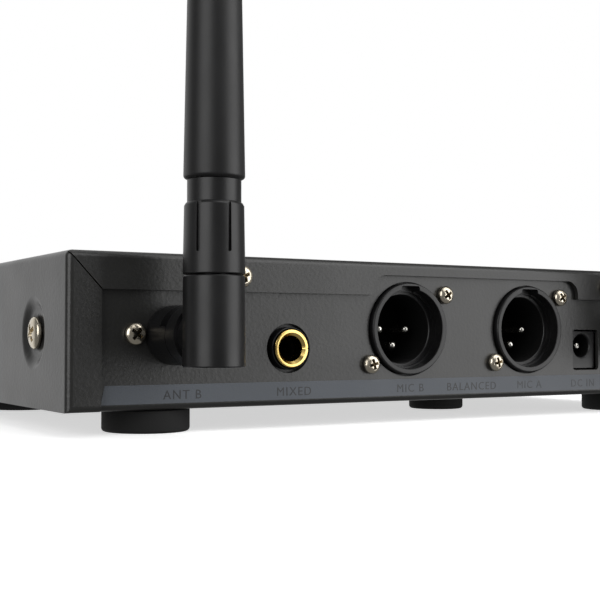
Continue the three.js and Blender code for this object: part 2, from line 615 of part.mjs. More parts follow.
function innerParts() {
  const deck = above(MAIN_BOARD.top + GAP);
  for (const { tag, sign } of sides) {
    add(`tuner_shield_${tag}`, block([sign * 30, FRONT_Y + 42, deck],
      [sign * 82, FRONT_Y + 84, deck + 11]), TINPLATE);
  }
  const fins = [block([-86, REAR_Y - 33, deck], [-62, REAR_Y - 31, deck + 18])];
  for (let i = 0; i < 5; i += 1) {
    const x = -85 + i * 5;
    fins.push(block([x, REAR_Y - 31.5, deck], [x + 1.4, REAR_Y - 24, deck + 18]));
  }
  add('regulator_heatsink', carve(fins), TINPLATE);
  const [near, far] = [BOARD_Y + BOARD_T + GAP, FRONT_Y + 34];
  const [low, high] = [deck, above(20)];
  const band = new THREE.Shape();
  band.moveTo(near, high).lineTo(near, high + 1).quadraticCurveTo(far, high + 1, far, low);
  band.lineTo(far - 1, low).quadraticCurveTo(far - 1, high, near, high);
  add('front_ribbon_cable', extrudeAlongX(band, -12, 12, 8), GREY_BAND);
}

topCover();
chassisTray();
frontFascia();
feet();
sideScrews();
rearScrews();
XLR.forEach(xlrSocket);
phoneJack();
dcInlet();
antennas();
controls();
boards();
innerParts();

export default group;
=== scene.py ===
"""Looks of a two-channel half-rack wireless receiver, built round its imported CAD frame.

Everything is in metres, +Z up, with the connector panel facing +Y and the controls facing -Y.
Each sub-assembly is a class that models its pieces over their CAD nodes and dresses them.
"""

import logging
import math
from dataclasses import dataclass, field
from enum import Enum
from typing import Any, Callable, Iterable

import bpy
from mathutils import Matrix, Vector


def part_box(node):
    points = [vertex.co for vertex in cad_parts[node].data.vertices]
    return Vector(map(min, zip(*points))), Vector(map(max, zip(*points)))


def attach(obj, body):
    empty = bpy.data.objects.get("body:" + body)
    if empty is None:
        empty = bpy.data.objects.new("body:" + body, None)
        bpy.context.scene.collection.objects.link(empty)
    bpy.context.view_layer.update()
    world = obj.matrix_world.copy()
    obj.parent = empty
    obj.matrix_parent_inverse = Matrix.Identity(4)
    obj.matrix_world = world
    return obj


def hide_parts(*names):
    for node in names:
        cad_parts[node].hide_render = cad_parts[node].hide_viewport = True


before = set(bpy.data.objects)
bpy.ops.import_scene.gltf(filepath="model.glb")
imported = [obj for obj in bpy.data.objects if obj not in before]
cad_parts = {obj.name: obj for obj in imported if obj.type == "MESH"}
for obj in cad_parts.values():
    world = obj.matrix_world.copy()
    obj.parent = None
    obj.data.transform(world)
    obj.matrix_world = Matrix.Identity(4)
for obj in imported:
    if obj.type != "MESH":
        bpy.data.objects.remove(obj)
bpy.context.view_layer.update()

MM = 0.001
log = logging.getLogger("receiver")


class Side(Enum):
    """The two channels: A stands at -X and B at +X."""

    A = -1
    B = 1

    @property
    def tag(self) -> str:
        """Ending of this side's node names."""
        return self.name.lower()


class Axis(Enum):
    """Directions that a turned piece can be spun about."""

    X = Vector((1, 0, 0))
    Y = Vector((0, 1, 0))
    Z = Vector((0, 0, 1))


# ---- Places read from the frame ------------------------------------------------------------
def centre(node: str) -> Vector:
    """Middle of a CAD node's box.

    Args:
        node: Name of the CAD node.

    Returns:
        The middle of its box, in metres.
    """
    low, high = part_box(node)
    return (low + high) / 2


def low_of(node: str) -> Vector:
    """Lowest corner of a CAD node's box."""
    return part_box(node)[0]


def high_of(node: str) -> Vector:
    """Highest corner of a CAD node's box."""
    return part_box(node)[1]


PANEL_Y = high_of("chassis_tray").y
LIP_Y = high_of("top_cover").y
CASE_LOW = low_of("top_cover").z
CASE_TOP = high_of("top_cover").z
HALF_W = high_of("top_cover").x
SHEET = 1.2 * MM
GAP = 0.3 * MM


# ---- Modelling -----------------------------------------------------------------------------
def only(piece: bpy.types.Object) -> None:
    """Selects one piece alone and makes it active."""
    bpy.ops.object.select_all(action="DESELECT")
    piece.select_set(True)
    bpy.context.view_layer.objects.active = piece


def primitive(name: str, operator: Callable[..., Any], **options: Any) -> bpy.types.Object:
    """Adds a primitive with nothing else selected and bakes its place into its mesh.

    Args:
        name: Name of the new piece.
        operator: The bpy.ops call that adds it.
        options: What the call takes, such as location and scale.

    Returns:
        The new piece, its object at the origin.
    """
    bpy.ops.object.select_all(action="DESELECT")
    operator(**options)
    piece = bpy.context.active_object
    piece.name = name
    piece.data.name = name
    bpy.ops.object.transform_apply(location=True, rotation=True, scale=True)
    return piece


def block(name: str, low: Iterable[float], high: Iterable[float]) -> bpy.types.Object:
    """Rectangular blank between two corners.

    Args:
        name: Name of the new piece.
        low: One corner, in metres.
        high: The opposite corner.

    Returns:
        The blank.
    """
    a, b = Vector(low), Vector(high)
    size = [abs(v) for v in (b - a)]
    return primitive(name, bpy.ops.mesh.primitive_cube_add, size=1, location=(a + b) / 2,
                     scale=size)


def spun(name: str, profile: list[tuple[float, float]], at: Vector, axis: Axis,
         steps: int = 64) -> bpy.types.Object:
    """Turned piece: a profile drawn point by point and spun about an axis.

    Args:
        name: Name of the new piece.
        profile: (radius, distance along the axis) points in metres, ending on the axis or closed.
        at: A point on the axis; the profile's distances count from it.
        axis: The axis' direction.
        steps: Faces round the circle.

    Returns:
        The turned piece.
    """
    along = axis.value
    across = Vector((0, 0, 1)) if axis is not Axis.Z else Vector((1, 0, 0))
    points = [at + across * r + along * s for r, s in profile]
    piece = primitive(name, bpy.ops.mesh.primitive_plane_add, size=MM, location=points[0])
    bpy.ops.object.mode_set(mode="EDIT")
    bpy.ops.mesh.select_all(action="SELECT")
    bpy.ops.mesh.merge(type="CENTER")
    for before, after in zip(points, points[1:]):
        bpy.ops.mesh.extrude_region_move(TRANSFORM_OT_translate={"value": after - before})
    bpy.ops.mesh.select_all(action="SELECT")
    bpy.ops.mesh.spin(steps=steps, angle=math.tau, center=at, axis=along)
    close_mesh(0.002 * MM)
    return piece


def rod(name: str, r: float, start: float, end: float, at: Vector, axis: Axis,
        steps: int = 48) -> bpy.types.Object:
    """Plain turned rod between two distances along an axis.

    Args:
        name: Name of the new piece.
        r: Radius.
        start: Distance of one end from the point.
        end: Distance of the other end.
        at: A point on the axis.
        axis: The axis' direction.
        steps: Faces round the circle.

    Returns:
        The rod.
    """
    return spun(name, [(0, start), (r, start), (r, end), (0, end)], at, axis, steps)


def modify(piece: bpy.types.Object, kind: str, **settings: Any) -> None:
    """Adds a modifier to a piece and applies it at once.

    Args:
        piece: The piece.
        kind: Blender's name of the modifier, such as BEVEL.
        settings: The modifier's properties.
    """
    only(piece)
    modifier = piece.modifiers.new(kind, kind)
    for key, value in settings.items():
        setattr(modifier, key, value)
    bpy.ops.object.modifier_apply(modifier=modifier.name)


def carve(piece: bpy.types.Object, *tools: bpy.types.Object) -> None:
    """Cuts each tool out of a piece and throws the tool away."""
    for tool in tools:
        modify(piece, "BOOLEAN", operation="DIFFERENCE", solver="EXACT", object=tool)
        bpy.data.objects.remove(tool)


def fuse(piece: bpy.types.Object, *others: bpy.types.Object) -> None:
    """Welds other solids onto a piece, which keeps its name."""
    for other in others:
        modify(piece, "BOOLEAN", operation="UNION", solver="EXACT", object=other)
        bpy.data.objects.remove(other)


def smooth(piece: bpy.types.Object, angle: float = 35) -> None:
    """Shades a piece smooth but for edges sharper than an angle in degrees."""
    only(piece)
    bpy.ops.object.shade_smooth_by_angle(angle=math.radians(angle))


def close_mesh(threshold: float) -> None:
    """Merges doubles of the mesh in edit mode and turns its faces outwards."""
    bpy.ops.mesh.select_all(action="SELECT")
    bpy.ops.mesh.remove_doubles(threshold=threshold)
    bpy.ops.mesh.normals_make_consistent(inside=False)
    bpy.ops.object.mode_set(mode="OBJECT")


def soften(piece: bpy.types.Object, width: float, segments: int = 2, angle: float = 35) -> None:
    """Rounds a piece's sharp edges and shades it smooth between them.

    Args:
        piece: The piece.
        width: Width of the rounding, in metres.
        segments: Faces across the rounding.
        angle: Edges sharper than this many degrees are rounded.
    """
    modify(piece, "BEVEL", width=width, segments=segments, limit_method="ANGLE",
           angle_limit=math.radians(angle), harden_normals=False)
    smooth(piece, angle)
    modify(piece, "WEIGHTED_NORMAL", keep_sharp=True)


def round_edges(piece: bpy.types.Object, chosen: Callable[[Vector, Vector], bool], radius: float,
                segments: int = 5) -> None:
    """Rounds the edges that a test picks by their two ends.

    Args:
        piece: The piece.
        chosen: Test of an edge's two end points.
        radius: Radius of the rounding.
        segments: Faces across the rounding.
    """
    only(piece)
    mesh = piece.data
    bpy.ops.object.mode_set(mode="EDIT")
    bpy.ops.mesh.select_all(action="DESELECT")
    bpy.ops.mesh.select_mode(type="EDGE")
    bpy.ops.object.mode_set(mode="OBJECT")
    for edge in mesh.edges:
        a, b = (mesh.vertices[i].co for i in edge.vertices)
        edge.select = chosen(a, b)
    bpy.ops.object.mode_set(mode="EDIT")
    bpy.ops.mesh.bevel(offset=radius, segments=segments, affect="EDGES")
    bpy.ops.mesh.select_mode(type="VERT")
    bpy.ops.object.mode_set(mode="OBJECT")


def copy_of(piece: bpy.types.Object, name: str, shift: Vector) -> bpy.types.Object:
    """Copy of a piece with a mesh of its own, moved by a shift.

    Args:
        piece: The piece to copy.
        name: Name of the copy.
        shift: How far it is moved.

    Returns:
        The copy, its object at the origin.
    """
    twin = piece.copy()
    twin.data = piece.data.copy()
    twin.name = name
    twin.data.name = name
    bpy.context.collection.objects.link(twin)
    only(twin)
    bpy.ops.transform.translate(value=shift)
    bpy.ops.object.transform_apply(location=True, rotation=True, scale=True)
    return twin


def arc(middle: tuple[float, float], radius: float, start: float, end: float,
        count: int = 6) -> list[tuple[float, float]]:
    """Points of a round stretch of a profile.

    Args:
        middle: The arc's centre in the profile.
        radius: The arc's radius.
        start: First angle, in degrees from the radius axis.
        end: Last angle.
        count: Number of steps.

    Returns:
        The points, both ends included.
    """
    angles = [math.radians(start + (end - start) * i / count) for i in range(count + 1)]
    return [(middle[0] + radius * math.cos(t), middle[1] + radius * math.sin(t)) for t in angles]


# ---- Finishes ------------------------------------------------------------------------------
def linear(hex_colour: str) -> tuple[float, float, float, float]:
    """Turns an sRGB hex colour into linear RGBA.

    Args:
        hex_colour: Colour such as "#1a1b1d".

    Returns:
        Red, green, blue and alpha, linear.
    """
    parts = [int(hex_colour[i:i + 2], 16) / 255 for i in (1, 3, 5)]
    red, green, blue = (v / 12.92 if v <= 0.04045 else ((v + 0.055) / 1.055) ** 2.4 for v in parts)
    return (red, green, blue, 1.0)


def add_node(tree: bpy.types.NodeTree, kind: str, inputs: dict[str | int, Any] | None = None,
             **settings: Any) -> bpy.types.Node:
    """Adds one node with its settings, input values and links.

    Args:
        tree: The material's node tree.
        kind: Blender's type name of the node.
        inputs: Input name or number to a value, or to the output socket that feeds it.
        settings: The node's own properties.

    Returns:
        The node.
    """
    node = tree.nodes.new(kind)
    for key, value in settings.items():
        setattr(node, key, value)
    for key, value in (inputs or {}).items():
        if isinstance(value, bpy.types.NodeSocket):
            tree.links.new(value, node.inputs[key])
        else:
            node.inputs[key].default_value = value
    return node


@dataclass(frozen=True)
class Finish:
    """A real material and how its surface was made.

    Its colour drifts between two tones in patches of a given size, and its grain is a fine relief
    that also varies the gloss.
    """

    name: str
    slot: str
    tone: str
    second_tone: str
    patch: float = 12 * MM
    grain: float = 0.6 * MM
    relief: float = 0.01 * MM
    roughness: tuple[float, float] = (0.4, 0.5)
    metallic: float = 0.0
    ior: float = 1.5
    coat: float = 0.0
    sheen: float = 0.0
    detail: float = 2.0

    def make(self) -> bpy.types.Material:
        """Builds the material, or returns it if it is there already."""
        found = bpy.data.materials.get(self.name)
        if found:
            return found
        material = bpy.data.materials.new(self.name)
        material.use_nodes = True
        tree = material.node_tree
        shader = tree.nodes["Principled BSDF"]
        self.set_shader(shader)
        self.wire(tree, shader)
        return material

    def set_shader(self, shader: bpy.types.Node) -> None:
        """Sets the values that are the same all over the surface."""
        shader.inputs["Metallic"].default_value = self.metallic
        shader.inputs["IOR"].default_value = self.ior
        shader.inputs["Coat Weight"].default_value = self.coat
        shader.inputs["Sheen Weight"].default_value = self.sheen

    def wire(self, tree: bpy.types.NodeTree, shader: bpy.types.Node) -> None:
        """Wires the tone, gloss and grain of the surface.

        Args:
            tree: The material's node tree.
            shader: Its Principled BSDF.
        """
        place = add_node(tree, "ShaderNodeTexCoord").outputs["Object"]
        patches = add_node(tree, "ShaderNodeTexNoise", {
            "Vector": place, "Scale": 1 / self.patch, "Detail": 3.0})
        grain = add_node(tree, "ShaderNodeTexNoise", {
            "Vector": place, "Scale": 1 / self.grain, "Detail": self.detail, "Roughness": 0.5})
        tone = add_node(tree, "ShaderNodeMix", {
            0: patches.outputs["Fac"], 6: linear(self.tone), 7: linear(self.second_tone)},
            data_type="RGBA")
        gloss = add_node(tree, "ShaderNodeMapRange", {
            "Value": patches.outputs["Fac"], "From Min": 0.3, "From Max": 0.7,
            "To Min": self.roughness[0], "To Max": self.roughness[1]})
        bump = add_node(tree, "ShaderNodeBump", {
            "Height": grain.outputs["Fac"], "Strength": 1.0, "Distance": self.relief})
        tree.links.new(tone.outputs[2], shader.inputs["Base Color"])
        tree.links.new(gloss.outputs["Result"], shader.inputs["Roughness"])
        tree.links.new(bump.outputs["Normal"], shader.inputs["Normal"])


@dataclass(frozen=True)
class SolderMask(Finish):
    """Green solder mask over copper tracks: fine paler lines run along the board."""

    track: float = 1.3 * MM

    def wire(self, tree: bpy.types.NodeTree, shader: bpy.types.Node) -> None:
        """Wires the board's tracks under the mask."""
        place = add_node(tree, "ShaderNodeTexCoord").outputs["Object"]
        tracks = add_node(tree, "ShaderNodeTexBrick", {
            "Vector": place, "Color1": linear(self.tone), "Color2": linear(self.second_tone),
            "Mortar": linear("#2f6f45"), "Scale": 1 / (8 * self.track), "Mortar Size": 0.02,
            "Brick Width": 0.9, "Row Height": 0.25})
        bump = add_node(tree, "ShaderNodeBump", {
            "Height": tracks.outputs["Fac"], "Strength": 0.6, "Distance": 0.03 * MM})
        shader.inputs["Roughness"].default_value = self.roughness[0]
        tree.links.new(tracks.outputs["Color"], shader.inputs["Base Color"])
        tree.links.new(bump.outputs["Normal"], shader.inputs["Normal"])


@dataclass(frozen=True)
class RibbonVinyl(Finish):
    """Grey vinyl ribbon cable: its moulded wires show as ridges 1.27 mm apart, their grooves
    painted darker as shade and their crests painted lighter.
    """

    pitch: float = 1.27 * MM

    def wire(self, tree: bpy.types.NodeTree, shader: bpy.types.Node) -> None:
        """Wires the ridges of the moulded wires, with painted shade in the grooves and a painted
        lighter tone on the crests.
        """
        place = add_node(tree, "ShaderNodeTexCoord").outputs["Object"]
        ridges = add_node(tree, "ShaderNodeTexWave", {
            "Vector": place, "Scale": math.tau / (20 * self.pitch), "Distortion": 0.0},
            wave_type="BANDS", bands_direction="X")
        # Painted shade and light: the tone follows the ridge height, darker in the grooves and
        # lighter on the crests.
        tone = add_node(tree, "ShaderNodeMix", {
            0: ridges.outputs["Fac"], 6: linear(self.tone), 7: linear(self.second_tone)},
            data_type="RGBA")
        bump = add_node(tree, "ShaderNodeBump", {
            "Height": ridges.outputs["Fac"], "Strength": 1.0, "Distance": 0.2 * MM})
        shader.inputs["Roughness"].default_value = self.roughness[0]
        tree.links.new(tone.outputs[2], shader.inputs["Base Color"])
        tree.links.new(bump.outputs["Normal"], shader.inputs["Normal"])


# Epoxy powder coat, baked with a fine texture: the eye sees a soft pebbled sheen on charcoal.
POWDER_COAT = Finish("powder_coat", "painted_steel", "#262625", "#2b2b2a", grain=0.9 * MM,
                     relief=0.045 * MM, roughness=(0.28, 0.34), ior=1.52)
# Satin moulded ABS: a deep black that rolls off softly from its long highlights.
ABS = Finish("satin_black_abs", "moulded_black_plastic", "#0d0d0e", "#111112", grain=0.3 * MM,
             relief=0.004 * MM, roughness=(0.34, 0.42))
# The same ABS, darker and matt, deep in a socket: painted shade for the throat's recess.
THROAT_SHADE_ABS = Finish("matt_core_abs", "moulded_black_plastic", "#040404", "#060606",
                    grain=0.4 * MM, relief=0.004 * MM, roughness=(0.85, 0.9), ior=1.35)
# Thermoplastic sleeve moulded over the whip: a touch more matt than the hard pieces under it.
SLEEVE = Finish("whip_sleeve_tpe", "moulded_black_plastic", "#0b0b0c", "#101011", grain=0.35 * MM,
                relief=0.004 * MM, roughness=(0.40, 0.47), sheen=0.05)
# Front moulding in spark-eroded black ABS: an even, fine sparkle.
FASCIA_ABS = Finish("eroded_black_abs", "fascia_plastic", "#121213", "#161617", grain=0.4 * MM,
                    relief=0.02 * MM, roughness=(0.42, 0.50))
# Moulded black rubber: nearly no gloss, with greyish bloom.
RUBBER = Finish("foot_rubber", "foot_rubber", "#050505", "#080808", patch=5 * MM, grain=0.5 * MM,
                relief=0.02 * MM, roughness=(0.8, 0.9), ior=1.35)
# Nickel plate over steel: bright, slightly warm, with faint rolling marks.
NICKEL = Finish("nickel_plate", "nickel_plated_screw", "#e0d8c8", "#c8bda8", patch=1.5 * MM,
                grain=0.25 * MM, relief=0.004 * MM, roughness=(0.18, 0.28), metallic=1.0)
# Gold plate over turned brass: rich yellow with a polished rim.
GOLD = Finish("gold_plate", "gold_plated_bush", "#f3d48a", "#e8c46c", patch=2 * MM,
              grain=0.3 * MM, relief=0.0005 * MM, roughness=(0.14, 0.22), metallic=1.0)
# Silver plate on the contact pins: almost white metal.
SILVER = Finish("silver_plate", "silver_plated_contact", "#dedcd6", "#cfccc4", patch=2 * MM,
                grain=0.3 * MM, relief=0.002 * MM, roughness=(0.15, 0.25), metallic=1.0)
# Tinplate and die-cast metal inside: a dull grey shine.
TINPLATE = Finish("tinplate", "bright_metal", "#b9bcbe", "#a4a8ab", patch=6 * MM,
                  grain=0.5 * MM, relief=0.005 * MM, roughness=(0.3, 0.42), metallic=1.0)
# Smoked cast acrylic: a black mirror-like pane.
ACRYLIC = Finish("smoked_acrylic", "smoked_acrylic", "#08090b", "#0a0c0f", patch=30 * MM,
                 grain=4 * MM, relief=0.001 * MM, roughness=(0.05, 0.08), ior=1.49)
# Grey moulded key caps: satin, slightly cool.
KEY_ABS = Finish("grey_key_abs", "grey_plastic", "#6a6e73", "#727679", grain=0.3 * MM,
                 relief=0.006 * MM, roughness=(0.38, 0.46))
# Screen-printed band: a flat blue-grey ink film on the coat.
BAND_INK = Finish("blue_grey_ink", "painted_steel", "#4b5057", "#50555c", grain=0.75 * MM,
                  relief=0.012 * MM, roughness=(0.42, 0.5))
# Screen-printed marks in a darker grey ink.
MARK_INK = Finish("dark_grey_ink", "painted_steel", "#26282b", "#2a2c30", grain=0.75 * MM,
                  relief=0.01 * MM, roughness=(0.35, 0.42))
# Pale printed marks on the front moulding.
PALE_INK = Finish("pale_grey_ink", "grey_plastic", "#b9bcbf", "#c4c6c8", grain=0.5 * MM,
                  relief=0.003 * MM, roughness=(0.4, 0.5))
BOARD = SolderMask("green_solder_mask", "circuit_board", "#123d24", "#15452a",
                   roughness=(0.35, 0.35))
RIBBON = RibbonVinyl("grey_ribbon_vinyl", "ribbon_cable_grey", "#8c9196", "#a2a7ab",
                     roughness=(0.5, 0.5))


def dress(piece: bpy.types.Object, finish: Finish, body: str, *nodes: str) -> bpy.types.Object:
    """Gives a modelled piece its finish, its body and the CAD nodes that it stands for.

    Args:
        piece: The modelled piece.
        finish: Its finish.
        body: The CAD body that it moves with.
        nodes: CAD nodes that it replaces.

    Returns:
        The same piece.
    """
    piece.data.materials.clear()
    piece.data.materials.append(finish.make())
    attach(piece, body)
    if nodes:
        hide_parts(*nodes)
    log.info("%s: %s faces, rides on %s", piece.name, len(piece.data.polygons), body)
    return piece


def redress(node: str, finish: Finish) -> None:
    """Gives a CAD node whose shape is right a better finish."""
    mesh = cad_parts[node].data
    mesh.materials.clear()
    mesh.materials.append(finish.make())
    log.info("%s: CAD shape kept, dressed in %s", node, finish.name)


CASE = "case"


# ---- Case ----------------------------------------------------------------------------------
@dataclass
class TopCover:
    """Folded sheet cover with rear lips, a notch over the sockets and embossed screw seats."""

    bend: float = 1.6 * MM
    lip: float = 8.2 * MM
    lip_top: float = 8.7 * MM
    notch_from: float = 82.5 * MM
    notch_to: float = 155 * MM
    notch_roof: float = 33.15 * MM
    notch_corner: float = 4 * MM
    mitre: float = 0.3 * MM
    dimple_r: float = 9 * MM
    dimple_floor: float = 5.6 * MM
    dimple_depth: float = 1.2 * MM

    def build(self) -> None:
        """Models the cover and dresses it."""
        cover = self.fold()
        self.open_rear(cover)
        for side in Side:
            self.slit_mitre(cover, side)
            for place in ("rear", "front"):
                self.emboss(cover, side, centre(f"side_screw_{side.tag}_{place}"))
        soften(cover, 0.14 * MM, 2, 40)
        dress(cover, POWDER_COAT, CASE, "top_cover")

    def fold(self) -> bpy.types.Object:
        """Folds the sheet: an outer box less an inner one, open below and in front.

        Returns:
            The folded sheet with an unbroken rear wall.
        """
        low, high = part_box("top_cover")
        outer = block("cover", low, high)
        inner = block("cover_inside", low - Vector((-SHEET, 0.02, 0.02)),
                      high - Vector((SHEET, SHEET, SHEET)))
        for shell, radius in ((outer, self.bend), (inner, self.bend - SHEET)):
            corner = Vector(map(max, *(v.co for v in shell.data.vertices)))
            self.round_bends(shell, corner, radius)
        carve(outer, inner)
        return outer

    @staticmethod
    def round_bends(shell: bpy.types.Object, corner: Vector, radius: float) -> None:
        """Rounds the bends at the top and at the rear upright edges.

        Args:
            shell: The box to round.
            corner: Its highest corner.
            radius: Bend radius.
        """
        def is_bend(a: Vector, b: Vector) -> bool:
            """Tells whether an edge lies along one of the bends."""
            sides = [abs(abs(v.x) - corner.x) < MM / 10 for v in (a, b)]
            tops = [abs(v.z - corner.z) < MM / 10 for v in (a, b)]
            rears = [abs(v.y - corner.y) < MM / 10 for v in (a, b)]
            return (all(sides) and all(tops)) or (all(tops) and all(rears)) or (
                all(sides) and all(rears))
        round_edges(shell, is_bend, radius)

    def open_rear(self, cover: bpy.types.Object) -> None:
        """Cuts the rear wall away between the lips, and the notch that clears the sockets."""
        inner = HALF_W - self.lip
        window = block("window", (-inner, LIP_Y - 4 * MM, CASE_LOW - MM),
                       (inner, LIP_Y + MM, CASE_TOP - self.lip_top))
        roof = CASE_LOW + self.notch_roof
        notch = block("notch", (HALF_W - self.notch_to, LIP_Y - 4 * MM, CASE_LOW + 10 * MM),
                      (HALF_W - self.notch_from, LIP_Y + MM, roof))
        round_edges(notch, lambda a, b: min(a.z, b.z) > roof - MM / 10 and abs(a.x - b.x) < MM / 10,
                    self.notch_corner, 10)
        carve(cover, window, notch)

    def slit_mitre(self, cover: bpy.types.Object, side: Side) -> None:
        """Cuts the slit between the side lip and the top lip, from corner to corner."""
        reach = math.hypot(self.lip, self.lip_top)
        slope = math.atan2(self.lip_top, self.lip)
        middle = Vector((side.value * (HALF_W - self.lip / 2 - 0.35 * MM), LIP_Y,
                         CASE_TOP - self.lip_top / 2 - 0.35 * MM))
        slit = primitive("slit", bpy.ops.mesh.primitive_cube_add, size=1, location=middle,
                         rotation=(0, side.value * -slope, 0),
                         scale=(reach - 0.6 * MM, 2 * SHEET + 0.2 * MM, self.mitre))
        carve(cover, slit)

    def emboss(self, cover: bpy.types.Object, side: Side, seat: Vector) -> None:
        """Presses a round dimple into the side for a screw to sit in.

        Args:
            cover: The folded sheet.
            side: Which side of the cover.
            seat: A point on the screw's axis.
        """
        face = Vector((side.value * HALF_W, seat.y, seat.z))
        inwards = -side.value
        steps = 10
        wall = []
        for i in range(steps + 1):
            t = i / steps
            depth = self.dimple_depth * (0.5 - 0.5 * math.cos(math.pi * t))
            wall.append((self.dimple_r + (self.dimple_floor - self.dimple_r) * t, inwards * depth))
        back = [(r - 0.25 * SHEET, s + inwards * 0.95 * SHEET) for r, s in wall]
        lap = self.dimple_r + 0.4 * MM
        boss = spun("boss", [(0, inwards * 0.4 * SHEET), (lap, inwards * 0.4 * SHEET),
                             (lap, inwards * 1.05 * SHEET)] + back[2:] + [(0, back[-1][1])],
                    face, Axis.X, 72)
        press = spun("press", [(0, -inwards * MM), (self.dimple_r, -inwards * MM)] + wall
                     + [(0, wall[-1][1])], face, Axis.X, 72)
        hole = rod("hole", 1.8 * MM, -inwards * MM, inwards * 4 * MM, face, Axis.X, 24)
        fuse(cover, boss)
        carve(cover, press, hole)


@dataclass
class ChassisTray:
    """Lower chassis: bottom sheet, connector panel with its openings, front upstand and tabs."""

    bend: float = 1.6 * MM
    upstand: float = 4.5 * MM
    socket_hole: float = 12.45 * MM
    jack_hole: float = 6.1 * MM
    swivel_hole: float = 5.5 * MM
    band_low: float = 1.5 * MM
    band_high: float = 5.9 * MM
    band_inset: float = 8.5 * MM
    ink: float = 0.05 * MM

    def build(self) -> None:
        """Models the tray and its printed band and dresses them."""
        low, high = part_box("chassis_tray")
        tray = block("tray", low, high)
        round_edges(tray, lambda a, b: max(a.z, b.z) < low.z + MM / 10 and abs(a.y - b.y) < MM / 10
                    and abs(abs(a.y) - max(high.y, -low.y)) < 8 * MM, self.bend)
        bed = block("bed", low + Vector((-MM, SHEET, SHEET)), high + Vector((MM, -SHEET, MM)))
        front = block("front", (low.x - MM, low.y - MM, low.z + self.upstand),
                      (high.x + MM, low.y + 2 * MM, high.z + MM))
        carve(tray, bed, front, *self.openings())
        fuse(tray, *self.tabs(low))
        soften(tray, 0.14 * MM, 2, 40)
        dress(tray, POWDER_COAT, CASE, "chassis_tray")
        self.print_band()

    def openings(self) -> list[bpy.types.Object]:
        """Makes the tools that cut the connector panel's openings.

        Returns:
            One tool for each opening.
        """
        def drill(node: str, r: float) -> bpy.types.Object:
            """Makes a round drill at a node's middle."""
            at = centre(node)
            return rod("drill", r, -3 * MM, MM, Vector((at.x, PANEL_Y, at.z)), Axis.Y, 64)
        tools = []
        for side in Side:
            tools.append(drill(f"xlr_socket_{side.tag}", self.socket_hole))
            tools.append(drill(f"antenna_base_{side.tag}", self.swivel_hole))
        tools.append(drill("phone_jack_bush", self.jack_hole))
        low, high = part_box("dc_inlet_body")
        edge = Vector((0.35 * MM, 0, 0.35 * MM))
        inlet = block("inlet", (low.x - edge.x, PANEL_Y - 3 * MM, low.z - edge.z),
                      (high.x + edge.x, PANEL_Y + MM, high.z + edge.z))
        round_edges(inlet, lambda a, b: abs(a.y - b.y) > 2 * MM, 0.8 * MM, 4)
        return tools + [inlet]

    def tabs(self, low: Vector) -> list[bpy.types.Object]:
        """Makes the upright tabs that take the cover's side screws."""
        tabs = []
        for side in Side:
            for place in ("rear", "front"):
                seat = centre(f"side_screw_{side.tag}_{place}")
                outer = side.value * (HALF_W - 2 * SHEET - GAP)
                tabs.append(block("tab", (outer, seat.y - 10 * MM, low.z + 0.5 * MM),
                                  (outer - side.value * SHEET, seat.y + 10 * MM, low.z + 26 * MM)))
        return tabs

    def print_band(self) -> None:
        """Lays the printed band along the foot of the connector panel, its ends cut aslant."""
        half = HALF_W - self.band_inset
        low = Vector((-half, PANEL_Y - self.ink, CASE_LOW + self.band_low))
        band = block("printed_band", low, (half, PANEL_Y + self.ink, CASE_LOW + self.band_high))
        for vertex in band.data.vertices:
            if vertex.co.z > low.z + MM:
                vertex.co.x -= math.copysign(1.0 * MM, vertex.co.x)
        soften(band, 0.02 * MM, 1)
        dress(band, BAND_INK, CASE)


@dataclass
class PortNames:
    """Plain port names knocked out of the printed band, in capitals."""

    size: float = 3.05 * MM
    foot: float = 2.45 * MM
    lift: float = 0.06 * MM
    spacing: float = 1.18

    def build(self) -> None:
        """Prints the name of each port under it."""
        names = {"BALANCED": (centre("xlr_socket_a").x + centre("xlr_socket_b").x) / 2 - 0.8 * MM,
                 "MIXED": centre("phone_jack_bush").x - 1.6 * MM,
                 "DC IN": centre("dc_inlet_body").x + 1.4 * MM}
        for side in Side:
            names[f"MIC {side.name}"] = centre(f"xlr_socket_{side.tag}").x - 0.8 * MM
            names[f"ANT {side.name}"] = centre(f"antenna_base_{side.tag}").x - 2.4 * MM * side.value
        for words, x in names.items():
            self.name_at(words, x)

    def name_at(self, words: str, x: float) -> None:
        """Prints one name as a thin film standing on the band.

        Args:
            words: The name.
            x: Where its middle stands.
        """
        bpy.ops.object.select_all(action="DESELECT")
        bpy.ops.object.text_add(location=(x, PANEL_Y + self.lift, CASE_LOW + self.foot),
                                rotation=(math.pi / 2, 0, math.pi))
        text = bpy.context.active_object
        text.data.body = words
        text.data.size = self.size
        text.data.align_x = "CENTER"
        text.data.space_character = self.spacing
        text.data.extrude = 0.03 * MM
        text.data.resolution_u = 3
        only(text)
        bpy.ops.object.convert(target="MESH")
        bpy.ops.object.transform_apply(location=True, rotation=True, scale=True)
        text.name = "port_name_" + words.lower().replace(" ", "_")
        text.data.name = text.name
        bpy.ops.object.mode_set(mode="EDIT")
        close_mesh(0.001 * MM)
        dress(text, MARK_INK, CASE)


